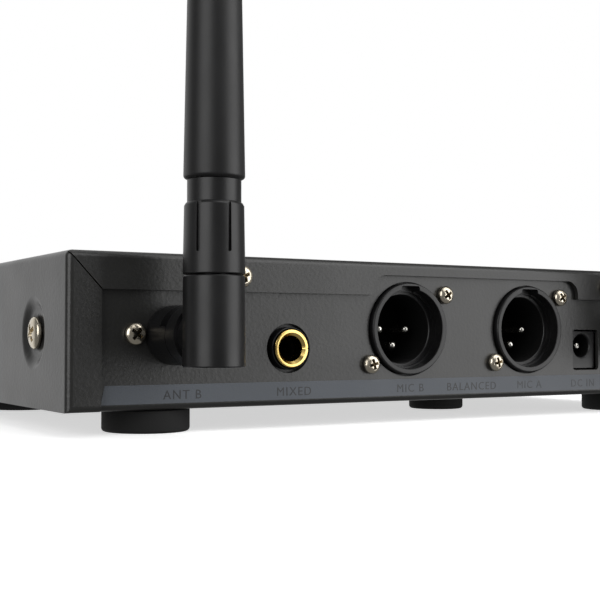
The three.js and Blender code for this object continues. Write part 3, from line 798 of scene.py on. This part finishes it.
@dataclass
class Feet:
    """Five moulded rubber feet, each with a screw recess below."""

    edge: float = 0.9 * MM
    recess_r: float = 4 * MM
    recess: float = 3 * MM

    def build(self) -> None:
        """Models one corner foot, copies it to the other corners, and moulds the middle one."""
        first = None
        for side in Side:
            for place in ("rear", "front"):
                node = f"foot_{side.tag}_{place}"
                at = centre(node)
                if first is None:
                    first = (self.mould(node), at)
                    foot = first[0]
                else:
                    foot = copy_of(first[0], f"rubber_{node}", at - first[1])
                dress(foot, RUBBER, CASE, node)
        dress(self.mould("foot_middle"), RUBBER, CASE, "foot_middle")

    def mould(self, node: str) -> bpy.types.Object:
        """Turns one foot.

        Args:
            node: Its CAD node.

        Returns:
            The foot.
        """
        low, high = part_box(node)
        r = (high.x - low.x) / 2
        top = high.z - low.z
        at = Vector(((low.x + high.x) / 2, (low.y + high.y) / 2, low.z))
        well = min(self.recess_r, 0.4 * r)
        profile = [(0, self.recess), (well, self.recess), (well, 0.3 * MM), (well + 0.3 * MM, 0)]
        profile += arc((r - self.edge, self.edge), self.edge, -90, 0)
        profile += arc((r - 0.3 * MM, top - 0.3 * MM), 0.3 * MM, 0, 90, 3) + [(0, top)]
        foot = spun(f"rubber_{node}", profile, at, Axis.Z, 72)
        smooth(foot, 30)
        return foot


# ---- Screws --------------------------------------------------------------------------------
@dataclass
class PanScrew:
    """Pan-head cross-recess screw; modelled lying on its CAD node."""

    node: str
    turn: float = 0.0
    axis: Axis = Axis.Y
    outward: int = 1

    def build(self) -> None:
        """Turns the head and shank, cuts the cross and dresses the screw."""
        low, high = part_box(self.node)
        mid = (low + high) / 2
        along = self.axis.value
        length = abs((high - low).dot(along))
        r = max((high - low)[i] for i in range(3) if abs(along[i]) < 0.5) / 2
        length_out = high.dot(along) if self.outward > 0 else low.dot(along)
        head = {Axis.Y: 2 * MM, Axis.X: 1.75 * MM}[self.axis]
        seat_at = length_out - self.outward * head
        seat = mid + along * (seat_at - mid.dot(along))
        sign = self.outward
        shank = r * 0.42
        profile = [(0, head - length), (shank, head - length), (shank, 0), (r * 0.94, 0),
                   (r, head * 0.12), (r, head * 0.42)]
        shoulder = [(r * 0.97, head * 0.56), (r * 0.88, head * 0.72), (r * 0.7, head * 0.86),
                    (r * 0.45, head * 0.96), (0, head)]
        profile = [(radius, sign * s) for radius, s in profile + shoulder]
        screw = spun(f"{self.node}_plated", profile, seat, self.axis, 40)
        carve(screw, *self.cross(seat, r, head))
        soften(screw, 0.05 * MM, 2, 40)
        dress(screw, NICKEL, CASE, self.node)

    def cross(self, seat: Vector, r: float, head: float) -> list[bpy.types.Object]:
        """Makes the two tapering blades that cut the cross recess.

        Args:
            seat: Where the head sits, on the screw's axis.
            r: Head radius.
            head: Head height.

        Returns:
            The two blades.
        """
        along = self.axis.value * self.outward
        blades = []
        for i in range(2):
            spin = self.turn + i * math.pi / 2
            middle = seat + along * (head * 0.55)
            blade = primitive("blade", bpy.ops.mesh.primitive_cube_add, size=1, location=(0, 0, 0),
                              scale=(r * 1.32, r * 0.34, head * 1.3))
            for vertex in blade.data.vertices:
                if vertex.co.z < 0:
                    vertex.co.x *= 0.5
                    vertex.co.y *= 0.7
            up = along.to_track_quat("Z", "Y").to_matrix().to_4x4()
            blade.data.transform(Matrix.Translation(middle) @ up @ Matrix.Rotation(spin, 4, "Z"))
            blades.append(blade)
        return blades


def screws() -> list[PanScrew]:
    """Lists every screw with its turn and direction.

    Returns:
        The screws.
    """
    listed = []
    for side in Side:
        tag = side.tag
        listed.append(PanScrew(f"xlr_screw_{tag}_lower", 0.25))
        listed.append(PanScrew(f"xlr_screw_{tag}_upper", 0.6))
        listed.append(PanScrew(f"panel_screw_{tag}", 0.9))
        listed.append(PanScrew(f"lip_screw_{tag}", 0.4))
        for place, turn in (("rear", 0.5), ("front", 1.1)):
            listed.append(PanScrew(f"side_screw_{tag}_{place}", turn, Axis.X, side.value))
    return listed


# ---- Connectors ----------------------------------------------------------------------------
@dataclass
class XlrSocket:
    """Male three-pin socket: moulded ring, stepped throat with a keyway, and plated contacts."""

    side: Side
    ring_r: float = 12.15 * MM
    ring_inner: float = 10.4 * MM
    proud: float = 1.5 * MM
    bore: float = 9.15 * MM
    recess: float = 4.3 * MM
    floor: float = -17 * MM
    back: float = -21 * MM
    keyway: float = 6 * MM

    def build(self) -> None:
        """Models the socket and its contacts."""
        tag = self.side.tag
        at = centre(f"xlr_socket_{tag}")
        at.y = PANEL_Y
        socket = self.mould(at)
        dress(socket, ABS, CASE, f"xlr_socket_{tag}")
        self.blacken(socket)
        for number in (1, 2, 3):
            self.contact(f"xlr_pin_{tag}_{number}")

    def mould(self, at: Vector) -> bpy.types.Object:
        """Turns the shell, adds the flange behind the panel and cuts the keyway.

        Args:
            at: Centre of the socket on the panel's face.

        Returns:
            The socket.
        """
        ledge = self.proud - self.recess
        profile = [(0, self.floor), (self.bore, self.floor), (self.bore, ledge - 0.2 * MM)]
        profile += [(self.bore + 0.2 * MM, ledge), (self.ring_inner - 0.15 * MM, ledge)]
        profile += [(self.ring_inner, ledge + 0.15 * MM), (self.ring_inner + 0.2 * MM,
                    self.proud - 0.15 * MM), (self.ring_inner + 0.35 * MM, self.proud)]
        profile += arc((self.ring_r - 0.5 * MM, self.proud - 0.5 * MM), 0.5 * MM, 90, 0, 5)
        profile += [(self.ring_r, -SHEET - MM), (11.2 * MM, -SHEET - MM), (11.2 * MM, self.back),
                    (0, self.back)]
        shell = spun(f"xlr_shell_{self.side.tag}", profile, at, Axis.Y, 96)
        low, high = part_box(f"xlr_socket_{self.side.tag}")
        flange = block("flange", (low.x, PANEL_Y - SHEET - GAP - 2.2 * MM, low.z),
                       (high.x, PANEL_Y - SHEET - GAP, high.z))
        carve(flange, rod("throat", self.bore + 0.9 * MM, -8 * MM, 0, at, Axis.Y, 64))
        fuse(shell, flange)
        half = self.keyway / 2
        slot = block("slot", (at.x - half, at.y + self.proud - 3.4 * MM, at.z + 8 * MM),
                     (at.x + half, at.y + self.proud + MM, at.z + 11.4 * MM))
        round_edges(slot, lambda a, b: min(a.z, b.z) > at.z + 11 * MM and abs(a.y - b.y) > MM,
                    0.6 * MM, 4)
        carve(shell, slot)
        soften(shell, 0.12 * MM, 2, 30)
        return shell

    def blacken(self, socket: bpy.types.Object) -> None:
        """Paints shade onto the throat's wall and floor with a darker, matt copy of the ABS.

        Args:
            socket: The dressed socket.
        """
        at = centre(f"xlr_socket_{self.side.tag}")
        # Painted shade: the faces deep in the throat take the darker, matt ABS.
        socket.data.materials.append(THROAT_SHADE_ABS.make())
        for face in socket.data.polygons:
            off = Vector((face.center.x - at.x, 0, face.center.z - at.z)).length
            if off < self.bore + 0.1 * MM and face.center.y < PANEL_Y - 3.2 * MM:
                face.material_index = 1

    def contact(self, node: str) -> None:
        """Turns one contact pin with a domed tip."""
        low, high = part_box(node)
        r = (high.x - low.x) / 2
        at = Vector(((low.x + high.x) / 2, low.y, (low.z + high.z) / 2))
        length = high.y - low.y
        tip = [(r * math.cos(t), length - r + r * math.sin(t))
               for t in (math.radians(15 * i) for i in range(7))]
        pin = spun(f"{node}_plated", [(0, 0), (r, 0)] + tip[:-1] + [(0, length)], at, Axis.Y, 32)
        smooth(pin, 40)
        dress(pin, SILVER, CASE, node)


@dataclass
class PhoneJack:
    """6.35 mm jack: black body with a collar through the panel and a gold-plated bush."""

    collar_r: float = 5.3 * MM
    collar: float = 1.2 * MM
    bore: float = 3.3 * MM
    bush_seat: float = 5.05 * MM
    seat_depth: float = 3 * MM

    def build(self) -> None:
        """Models the body and the bush."""
        at = centre("phone_jack_bush")
        at.y = PANEL_Y
        low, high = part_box("phone_jack_body")
        bore_end = low.y + 2 * MM - PANEL_Y
        collar = spun("jack_body", [(0, -4 * MM), (self.collar_r, -4 * MM)]
                      + arc((self.collar_r - 0.4 * MM, self.collar - 0.4 * MM), 0.4 * MM, 0, 90, 4)
                      + [(0, self.collar)], at, Axis.Y, 72)
        case = block("jack_case", low, (high.x, PANEL_Y - SHEET - GAP, high.z))
        fuse(collar, case)
        carve(collar, rod("bush_bore", self.bush_seat, -self.seat_depth, 3 * MM, at, Axis.Y, 64),
              rod("plug_bore", self.bore, bore_end, 3 * MM, at, Axis.Y, 64))
        soften(collar, 0.1 * MM, 2, 35)
        dress(collar, ABS, CASE, "phone_jack_body")
        self.bush(at)

    @staticmethod
    def bush(at: Vector) -> None:
        """Turns the gold-plated bush with its chamfered mouth."""
        outer, inner, face, back = 4.75 * MM, 3.25 * MM, 1.8 * MM, -2.6 * MM
        profile = [(inner, back), (outer, back)] + arc((outer - 0.3 * MM, face - 0.3 * MM),
                                                       0.3 * MM, 0, 90, 4)
        profile += [(3.95 * MM, face), (inner, face - 0.65 * MM), (inner, back)]
        bush = spun("jack_bush", profile, at, Axis.Y, 96)
        carve(bush, block("seam", at + Vector((-5 * MM, 1.2 * MM, -0.11 * MM)),
                          at + Vector((-3 * MM, 2.2 * MM, 0.11 * MM))))
        smooth(bush)
        dress(bush, GOLD, CASE, "phone_jack_bush")


@dataclass
class DcInlet:
    """DC inlet: moulded body behind a rectangular opening, with a centre pin."""

    bore: float = 3.2 * MM
    mouth: float = 0.5 * MM

    def build(self) -> None:
        """Models the body and the centre pin."""
        low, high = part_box("dc_inlet_body")
        at = centre("dc_inlet_pin")
        at.y = high.y
        body = block("inlet_body", low, high)
        r = self.bore
        well = spun("well", [(0, -10 * MM), (r, -10 * MM), (r, -self.mouth),
                             (r + self.mouth, MM / 10), (0, MM / 10)], at, Axis.Y, 64)
        carve(body, well)
        soften(body, 0.2 * MM, 2, 35)
        dress(body, ABS, CASE, "dc_inlet_body")
        low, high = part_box("dc_inlet_pin")
        r = (high.z - low.z) / 2
        pin = spun("inlet_pin", [(0, low.y - at.y), (r, low.y - at.y), (r, high.y - at.y - r * 0.6)]
                   + arc((r * 0.4, high.y - at.y - r * 0.6), r * 0.6, 0, 90, 4)
                   + [(0, high.y - at.y)], at, Axis.Y, 32)
        smooth(pin, 40)
        dress(pin, SILVER, CASE, "dc_inlet_pin")


# ---- Antennas ------------------------------------------------------------------------------
@dataclass
class Antenna:
    """Swivel antenna: fixed base with a stop, knuckle, grip collar and tapered whip sleeve."""

    side: Side
    hub_r: float = 7 * MM
    base_end: float = 7.3 * MM
    stop_end: float = 10.6 * MM
    disc_end: float = 15.5 * MM
    pivot_r: float = 3.2 * MM
    neck_r: float = 6.1 * MM
    stop_from: float = 16.0
    lug_half: float = 14.0
    groove: float = 0.9 * MM
    groove_length: float = 11 * MM
    grooves: int = 6

    @property
    def body(self) -> str:
        """CAD body that the moving pieces ride on."""
        return f"antenna_{self.side.tag}"

    def node(self, part: str) -> str:
        """Name of one of this antenna's CAD nodes."""
        return f"antenna_{part}_{self.side.tag}"

    def build(self) -> None:
        """Models the four pieces of this antenna."""
        self.hub_at = centre(self.node("base"))
        self.hub_at.y = PANEL_Y
        self.whip_at = centre(self.node("whip"))
        self.base()
        self.knuckle()
        self.grip()
        self.whip()

    def sector(self, name: str, inner: float, start: float, end: float, y0: float,
               y1: float) -> bpy.types.Object:
        """Ring segment about the hub's axis, spun from a rectangle and capped at both ends.

        Args:
            name: Name of the piece.
            inner: Inner radius.
            start: First angle from +X towards +Z, in degrees.
            end: Last angle.
            y0: Near distance from the panel.
            y1: Far distance.

        Returns:
            The segment.
        """
        at = self.hub_at
        turn = math.radians(start)
        out = Vector((math.cos(turn), 0, math.sin(turn)))
        corners = [(inner, y0), (self.hub_r, y0), (self.hub_r, y1), (inner, y1)]
        places = [at + out * r + Vector((0, y, 0)) for r, y in corners]
        piece = primitive(name, bpy.ops.mesh.primitive_plane_add, size=MM, location=at)
        for vertex, place in zip(piece.data.vertices, (places[0], places[1], places[3], places[2])):
            vertex.co = place
        only(piece)
        bpy.ops.object.mode_set(mode="EDIT")
        bpy.ops.mesh.select_all(action="SELECT")
        steps = max(4, int((end - start) / 5))
        bpy.ops.mesh.spin(steps=steps, angle=math.radians(start - end), center=at, axis=(0, 1, 0))
        close_mesh(0.002 * MM)
        return piece

    def base(self) -> None:
        """Models the fixed base and its raised stop."""
        at = self.hub_at
        base = spun(f"swivel_base_{self.side.tag}", [(0, -6.8 * MM), (5.2 * MM, -6.8 * MM),
                    (5.2 * MM, GAP), (self.hub_r - 0.2 * MM, GAP), (self.hub_r, GAP + 0.2 * MM),
                    (self.hub_r, self.base_end), (0, self.base_end)], at, Axis.Y, 72)
        fuse(base, self.sector("stop", self.pivot_r + 1.5 * MM, self.stop_from,
                               180 - self.stop_from, self.base_end - MM, self.stop_end))
        carve(base, rod("pivot_bore", self.pivot_r + GAP, -9 * MM, 12 * MM, at, Axis.Y, 48))
        soften(base, 0.22 * MM, 3, 35)
        dress(base, ABS, CASE, self.node("base"))

    def knuckle(self) -> None:
        """Models the turning knuckle: pivot, lug, disc, neck and barrel."""
        at = self.hub_at
        low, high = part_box(self.node("knuckle"))
        axis_y = self.whip_at.y - PANEL_Y
        top = low_of(self.node("grip")).z - GAP
        foot = low.z
        knuckle = spun(f"swivel_knuckle_{self.side.tag}", [(0, -8.6 * MM), (4.4 * MM, -8.6 * MM),
                       (4.4 * MM, -7.2 * MM), (self.pivot_r, -7.2 * MM),
                       (self.pivot_r, self.stop_end + GAP), (self.hub_r, self.stop_end + GAP),
                       (self.hub_r, self.disc_end), (self.neck_r, self.disc_end),
                       (self.neck_r, axis_y), (0, axis_y)], at, Axis.Y, 72)
        lug = self.sector("lug", self.pivot_r - MM, 270 - self.lug_half, 270 + self.lug_half,
                          self.base_end + GAP, self.stop_end + MM)
        r = high.y - self.whip_at.y
        barrel_at = Vector((self.whip_at.x, self.whip_at.y, foot))
        barrel = spun("barrel", [(0, 0)] + arc((r - 0.4 * MM, 0.4 * MM), 0.4 * MM, -90, 0)
                      + [(r - 0.1 * MM, top - foot - 0.25 * MM), (r - 0.3 * MM, top - foot),
                         (0, top - foot)], barrel_at, Axis.Z, 96)
        stem = rod("stem", 3.5 * MM, top - foot - MM, high.z - foot, barrel_at, Axis.Z, 32)
        fuse(knuckle, lug, barrel, stem)
        soften(knuckle, 0.22 * MM, 3, 35)
        dress(knuckle, ABS, self.body, self.node("knuckle"))

    def grip(self) -> None:
        """Models the collar with its finger grooves and the neck above it."""
        low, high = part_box(self.node("grip"))
        knuckle_top = high_of(self.node("knuckle")).z
        r = (high.x - low.x) / 2
        whip_low = low_of(self.node("whip")).z
        shoulder = whip_low - 5.2 * MM - low.z
        neck = 5.95 * MM
        at = Vector((self.whip_at.x, self.whip_at.y, low.z))
        profile = [(0, 0), (r - 0.15 * MM, 0), (r, 0.2 * MM)]
        profile += [(r - 0.25 * MM, shoulder - 0.75 * MM), (r - 0.6 * MM, shoulder - 0.15 * MM),
                    (neck + 0.1 * MM, shoulder), (neck, shoulder + 0.1 * MM)]
        profile += [(neck, whip_low - GAP - low.z), (3 * MM, whip_low - GAP - low.z),
                    (3 * MM, high.z - low.z), (0, high.z - low.z)]
        collar = spun(f"whip_collar_{self.side.tag}", profile, at, Axis.Z, 96)
        carve(collar, rod("stem_bore", 3.8 * MM, -MM, knuckle_top - low.z + GAP, at, Axis.Z, 32))
        for i in range(self.grooves):
            carve(collar, self.groove_tool(at, shoulder, math.tau * (i + 0.55) / self.grooves))
        soften(collar, 0.12 * MM, 2, 35)
        dress(collar, ABS, self.body, self.node("grip"))

    def groove_tool(self, at: Vector, shoulder: float, turn: float) -> bpy.types.Object:
        """Makes the round-ended tool of one finger groove.

        Args:
            at: Foot of the collar, on its axis.
            shoulder: Height of the collar's shoulder.
            turn: Angle of the groove about the axis.

        Returns:
            The tool.
        """
        out = Vector((math.cos(turn), math.sin(turn), 0))
        tool = primitive("groove", bpy.ops.mesh.primitive_cube_add, size=1, location=(0, 0, 0),
                         scale=(2 * MM, self.groove, self.groove_length + 4 * MM))
        low_end = -(self.groove_length + 4 * MM) / 2
        round_edges(tool, lambda a, b: max(a.z, b.z) < low_end + MM / 10 and abs(a.x - b.x) > MM,
                    self.groove * 0.49, 4)
        middle = at + out * 7.1 * MM + Vector((0, 0, shoulder - self.groove_length / 2 + 2 * MM))
        tool.data.transform(Matrix.Translation(middle) @ Matrix.Rotation(turn, 4, "Z"))
        return tool

    def whip(self) -> None:
        """Models the tapered sleeve with its rounded tip and bored foot."""
        low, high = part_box(self.node("whip"))
        r = (high.x - low.x) / 2
        tall = high.z - low.z
        tip_r = 5.2 * MM
        at = Vector((self.whip_at.x, self.whip_at.y, low.z))
        profile = [(0, 8.3 * MM), (3.3 * MM, 8.3 * MM), (3.3 * MM, 0)]
        profile += arc((r - 0.75 * MM, 0.75 * MM), 0.75 * MM, -90, 0, 6)
        profile += arc((tip_r - 1.7 * MM, tall - 1.7 * MM), 1.7 * MM, 3, 90, 7) + [(0, tall)]
        sleeve = spun(f"whip_sleeve_{self.side.tag}", profile, at, Axis.Z, 96)
        smooth(sleeve)
        dress(sleeve, SLEEVE, self.body, self.node("whip"))


# ---- Front ---------------------------------------------------------------------------------
@dataclass
class Fascia:
    """Moulded front with openings for the windows, knobs and keys."""

    corner: float = 2 * MM
    edge: float = 1.2 * MM
    wall: float = 2.5 * MM
    rim: float = 2.2 * MM

    def build(self) -> None:
        """Models the moulding and dresses it."""
        low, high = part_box("front_fascia")
        back = low.y + 7.7 * MM
        shell = block("fascia", low, (high.x, back, high.z))
        round_edges(shell, lambda a, b: abs(a.y - b.y) > MM, self.corner, 6)
        round_edges(shell, lambda a, b: max(a.y, b.y) < low.y + MM / 10, self.edge, 4)
        inside = block("inside", (low.x + self.rim, low.y + self.wall, low.z + self.rim),
                       (high.x - self.rim, back + MM, high.z - self.rim))
        carve(shell, inside, *self.openings(low.y))
        soften(shell, 0.15 * MM, 2, 35)
        dress(shell, FASCIA_ABS, CASE, "front_fascia")

    def openings(self, face: float) -> list[bpy.types.Object]:
        """Makes the tools that cut the openings through the front wall."""
        def drill(node: str, r: float) -> bpy.types.Object:
            """Makes a round drill at a node's middle."""
            at = centre(node)
            return rod("drill", r, -MM, 4 * MM, Vector((at.x, face, at.z)), Axis.Y, 48)
        tools = [drill("power_button", 4.9 * MM)]
        for side in Side:
            tools.append(drill(f"volume_knob_{side.tag}", 3.5 * MM))
            tools.append(drill(f"set_button_{side.tag}", 3.7 * MM))
            low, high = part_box(f"display_window_{side.tag}")
            tools.append(block("pane", (low.x - GAP, face - MM, low.z - GAP),
                               (high.x + GAP, face + 4 * MM, high.z + GAP)))
        return tools


@dataclass
class Controls:
    """Knobs, keys and display windows of the front."""

    ribs: int = 30
    ticks: int = 11
    sweep: float = 300.0

    def build(self) -> None:
        """Models every control."""
        self.key("power_button", "power_key")
        for side in Side:
            self.key(f"set_button_{side.tag}", f"set_key_{side.tag}")
            self.knob(side)
            self.window(side)

    def key(self, node: str, body: str) -> None:
        """Turns one key cap with a dished face and a retaining flange.

        Args:
            node: Its CAD node.
            body: The body it moves with.
        """
        low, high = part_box(node)
        face = low_of("front_fascia").y
        cap_r = (high.x - low.x) / 2 - MM
        at = Vector(((low.x + high.x) / 2, low.y, (low.z + high.z) / 2))
        flange = face + 2.8 * MM - low.y
        profile = [(0, 0.35 * MM), (cap_r * 0.5, 0.22 * MM), (cap_r - 0.6 * MM, 0)]
        profile += arc((cap_r - 0.4 * MM, 0.4 * MM), 0.4 * MM, -90, 0, 4)
        profile += [(cap_r, flange), (cap_r + MM, flange), (cap_r + MM, flange + MM),
                    (2 * MM, flange + MM), (2 * MM, high.y - low.y), (0, high.y - low.y)]
        key = spun(f"{node}_cap", profile, at, Axis.Y, 64)
        soften(key, 0.08 * MM, 2, 40)
        dress(key, KEY_ABS, body, node)

    def knob(self, side: Side) -> None:
        """Turns a knob, cuts its grip flutes and lays its pointer line."""
        node = f"volume_knob_{side.tag}"
        low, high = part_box(node)
        r = (high.x - low.x) / 2
        tall = high.y - low.y
        at = Vector(((low.x + high.x) / 2, low.y, (low.z + high.z) / 2))
        profile = [(0, 0)] + arc((r - 2.4 * MM, MM), MM, -90, -8, 6)
        profile += [(r - 0.8 * MM, tall - 3 * MM), (r - 0.2 * MM, tall - 2.6 * MM),
                    (r, tall - 2.2 * MM), (r, tall),
                    (3.3 * MM, tall), (3.3 * MM, 1.2 * MM), (0, 1.2 * MM)]
        knob = spun(f"{node}_turned", profile, at, Axis.Y, 120)
        for i in range(self.ribs):
            turn = math.tau * (i + 0.5) / self.ribs
            out = Vector((math.sin(turn), 0, math.cos(turn)))
            flute = rod("flute", 0.45 * MM, 1.6 * MM, tall - 3.2 * MM, at + out * (r - 0.85 * MM),
                        Axis.Y, 12)
            carve(knob, flute)
        soften(knob, 0.08 * MM, 2, 35)
        dress(knob, ABS, f"volume_{side.tag}", node)
        line = block(f"pointer_{side.tag}", (at.x - 0.45 * MM, at.y - 0.03 * MM, at.z + 2 * MM),
                     (at.x + 0.45 * MM, at.y + 0.2 * MM, at.z + r - 2.2 * MM))
        soften(line, 0.02 * MM, 1)
        dress(line, PALE_INK, f"volume_{side.tag}")
        self.scale_ring(side, at, r)
        redress(f"pot_shaft_{side.tag}", TINPLATE)

    def scale_ring(self, side: Side, at: Vector, r: float) -> None:
        """Prints the volume marks round a knob as one thin film on the fascia.

        Args:
            side: Which channel.
            at: A point on the knob's axis.
            r: Knob radius.
        """
        face = low_of("front_fascia").y
        marks = []
        for i in range(self.ticks):
            turn = math.radians(self.sweep * (i / (self.ticks - 1) - 0.5))
            out = Vector((math.sin(turn), 0, math.cos(turn)))
            place = Vector((at.x, face, at.z)) + out * (r + 1.7 * MM)
            marks.append(primitive("mark", bpy.ops.mesh.primitive_cube_add, size=1, location=place,
                                   rotation=(0, turn, 0), scale=(0.35 * MM, 0.1 * MM, 1.2 * MM)))
        bpy.ops.object.select_all(action="DESELECT")
        for mark in marks:
            mark.select_set(True)
        bpy.context.view_layer.objects.active = marks[0]
        bpy.ops.object.join()
        marks[0].name = marks[0].data.name = f"volume_marks_{side.tag}"
        soften(marks[0], 0.02 * MM, 1)
        dress(marks[0], PALE_INK, CASE)

    def window(self, side: Side) -> None:
        """Models the acrylic pane over a display."""
        node = f"display_window_{side.tag}"
        pane = block(f"{node}_pane", *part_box(node))
        soften(pane, 0.25 * MM, 3)
        dress(pane, ACRYLIC, CASE, node)


def dress_inside() -> None:
    """Gives the pieces inside the case their finishes; their CAD shapes are right."""
    for node in ("main_board", "front_board"):
        redress(node, BOARD)
    for node in ("regulator_heatsink", "tuner_shield_a", "tuner_shield_b", "potentiometer_a",
                 "potentiometer_b"):
        redress(node, TINPLATE)
    redress("front_ribbon_cable", RIBBON)
    redress("power_switch", ABS)
    for side in Side:
        redress(f"display_module_{side.tag}", KEY_ABS)


# ---- Studio --------------------------------------------------------------------------------
@dataclass
class Softbox:
    """One rectangular soft light that faces the object."""

    name: str
    bearing: float
    climb: float
    distance: float
    width: float
    height: float
    radiance: float
    aim: Vector = field(default_factory=lambda: Vector((0.02, 0.06, 0.05)))

    def hang(self) -> None:
        """Hangs the light; its watts follow from its size and how bright it looks."""
        turn, lift = math.radians(self.bearing), math.radians(self.climb)
        out = Vector((-math.sin(turn) * math.cos(lift), math.cos(turn) * math.cos(lift),
                      math.sin(lift)))
        bpy.ops.object.light_add(type="AREA", location=self.aim + out * self.distance)
        light = bpy.context.active_object
        light.name = self.name
        light.data.shape = "RECTANGLE"
        light.data.size = self.width
        light.data.size_y = self.height
        light.data.energy = self.radiance * math.pi * self.width * self.height
        light.rotation_euler = (-out).to_track_quat("-Z", "Y").to_euler()


@dataclass
class Studio:
    """White cyclorama, pale floor, soft lights and the camera.

    Bearings of the lights count from +Y towards -X, in degrees.
    """

    eye: Vector = field(default_factory=lambda: Vector((0.1888, 0.30025, 0.0229)))
    heading: float = 30.95
    rise: float = 1.84
    roll: float = 0.0
    lens: float = 67.49
    room: float = 0.18
    cyclorama: float = 0.85
    softboxes: tuple[Softbox, ...] = (
        Softbox("key", 48, 9, 1.1, 0.98, 1.25, 2.2),
        Softbox("over", 25, 52, 1.1, 1.0, 0.7, 1.8),
        Softbox("fill", -63, 14, 1.0, 0.75, 0.85, 2.3),
        Softbox("top", 180, 80, 1.1, 0.9, 0.9, 0.8),
    )

    def build(self) -> None:
        """Lays the floor, hangs the lights and places the camera."""
        bpy.context.scene.view_settings.view_transform = "Standard"
        self.floor()
        self.world()
        for softbox in self.softboxes:
            softbox.hang()
        self.camera()

    @staticmethod
    def floor() -> None:
        """Lays the pale floor; it stays out of the object's reflections."""
        floor = primitive("floor", bpy.ops.mesh.primitive_plane_add, size=60, location=(0, 0, 0))
        material = bpy.data.materials.new("pale_floor")
        material.use_nodes = True
        shader = material.node_tree.nodes["Principled BSDF"]
        shader.inputs["Base Color"].default_value = linear("#f4f4f4")
        shader.inputs["Roughness"].default_value = 0.9
        shader.inputs["Emission Color"].default_value = (1, 1, 1, 1)
        shader.inputs["Emission Strength"].default_value = 0.6
        floor.data.materials.append(material)
        floor.visible_glossy = False
        floor.visible_diffuse = False
        floor.visible_shadow = False

    def world(self) -> None:
        """Makes a white cyclorama at -Y that fades to a dim room at +Y."""
        world = bpy.context.scene.world or bpy.data.worlds.new("studio")
        bpy.context.scene.world = world
        world.use_nodes = True
        tree = world.node_tree
        backdrop = tree.nodes["Background"]
        backdrop.inputs["Color"].default_value = (1, 1, 1, 1)
        seen = add_node(tree, "ShaderNodeLightPath").outputs["Is Camera Ray"]
        heading = add_node(tree, "ShaderNodeTexCoord").outputs["Generated"]
        split = add_node(tree, "ShaderNodeSeparateXYZ", {"Vector": heading})
        fade = add_node(tree, "ShaderNodeMapRange", {
            "Value": split.outputs["Y"], "From Min": -0.5, "From Max": -0.9,
            "To Min": self.room, "To Max": self.cyclorama}, interpolation_type="SMOOTHSTEP")
        strength = add_node(tree, "ShaderNodeMix", {
            0: seen, 2: fade.outputs["Result"], 3: 1.0}, data_type="FLOAT")
        tree.links.new(strength.outputs[0], backdrop.inputs["Strength"])

    def camera(self) -> None:
        """Places the camera low behind the object, looking slightly up."""
        bpy.ops.object.camera_add(location=self.eye)
        camera = bpy.context.active_object
        a, p = math.radians(self.heading), math.radians(self.rise)
        forward = Vector((-math.sin(a) * math.cos(p), -math.cos(a) * math.cos(p), math.sin(p)))
        turn = forward.to_track_quat("-Z", "Y").to_matrix().to_4x4()
        turn = turn @ Matrix.Rotation(math.radians(self.roll), 4, "Z")
        camera.rotation_euler = turn.to_euler()
        camera.data.lens = self.lens
        camera.data.sensor_width = 36
        camera.data.clip_start = 0.01
        bpy.context.scene.camera = camera


def main() -> None:
    """Builds every sub-assembly in order."""
    logging.basicConfig(level=logging.INFO, format="%(name)s: %(message)s")
    TopCover().build()
    ChassisTray().build()
    PortNames().build()
    Feet().build()
    for screw in screws():
        screw.build()
    for side in Side:
        XlrSocket(side).build()
        Antenna(side).build()
    PhoneJack().build()
    DcInlet().build()
    Fascia().build()
    Controls().build()
    dress_inside()
    Studio().build()


if __name__ == "__main__":
    main()
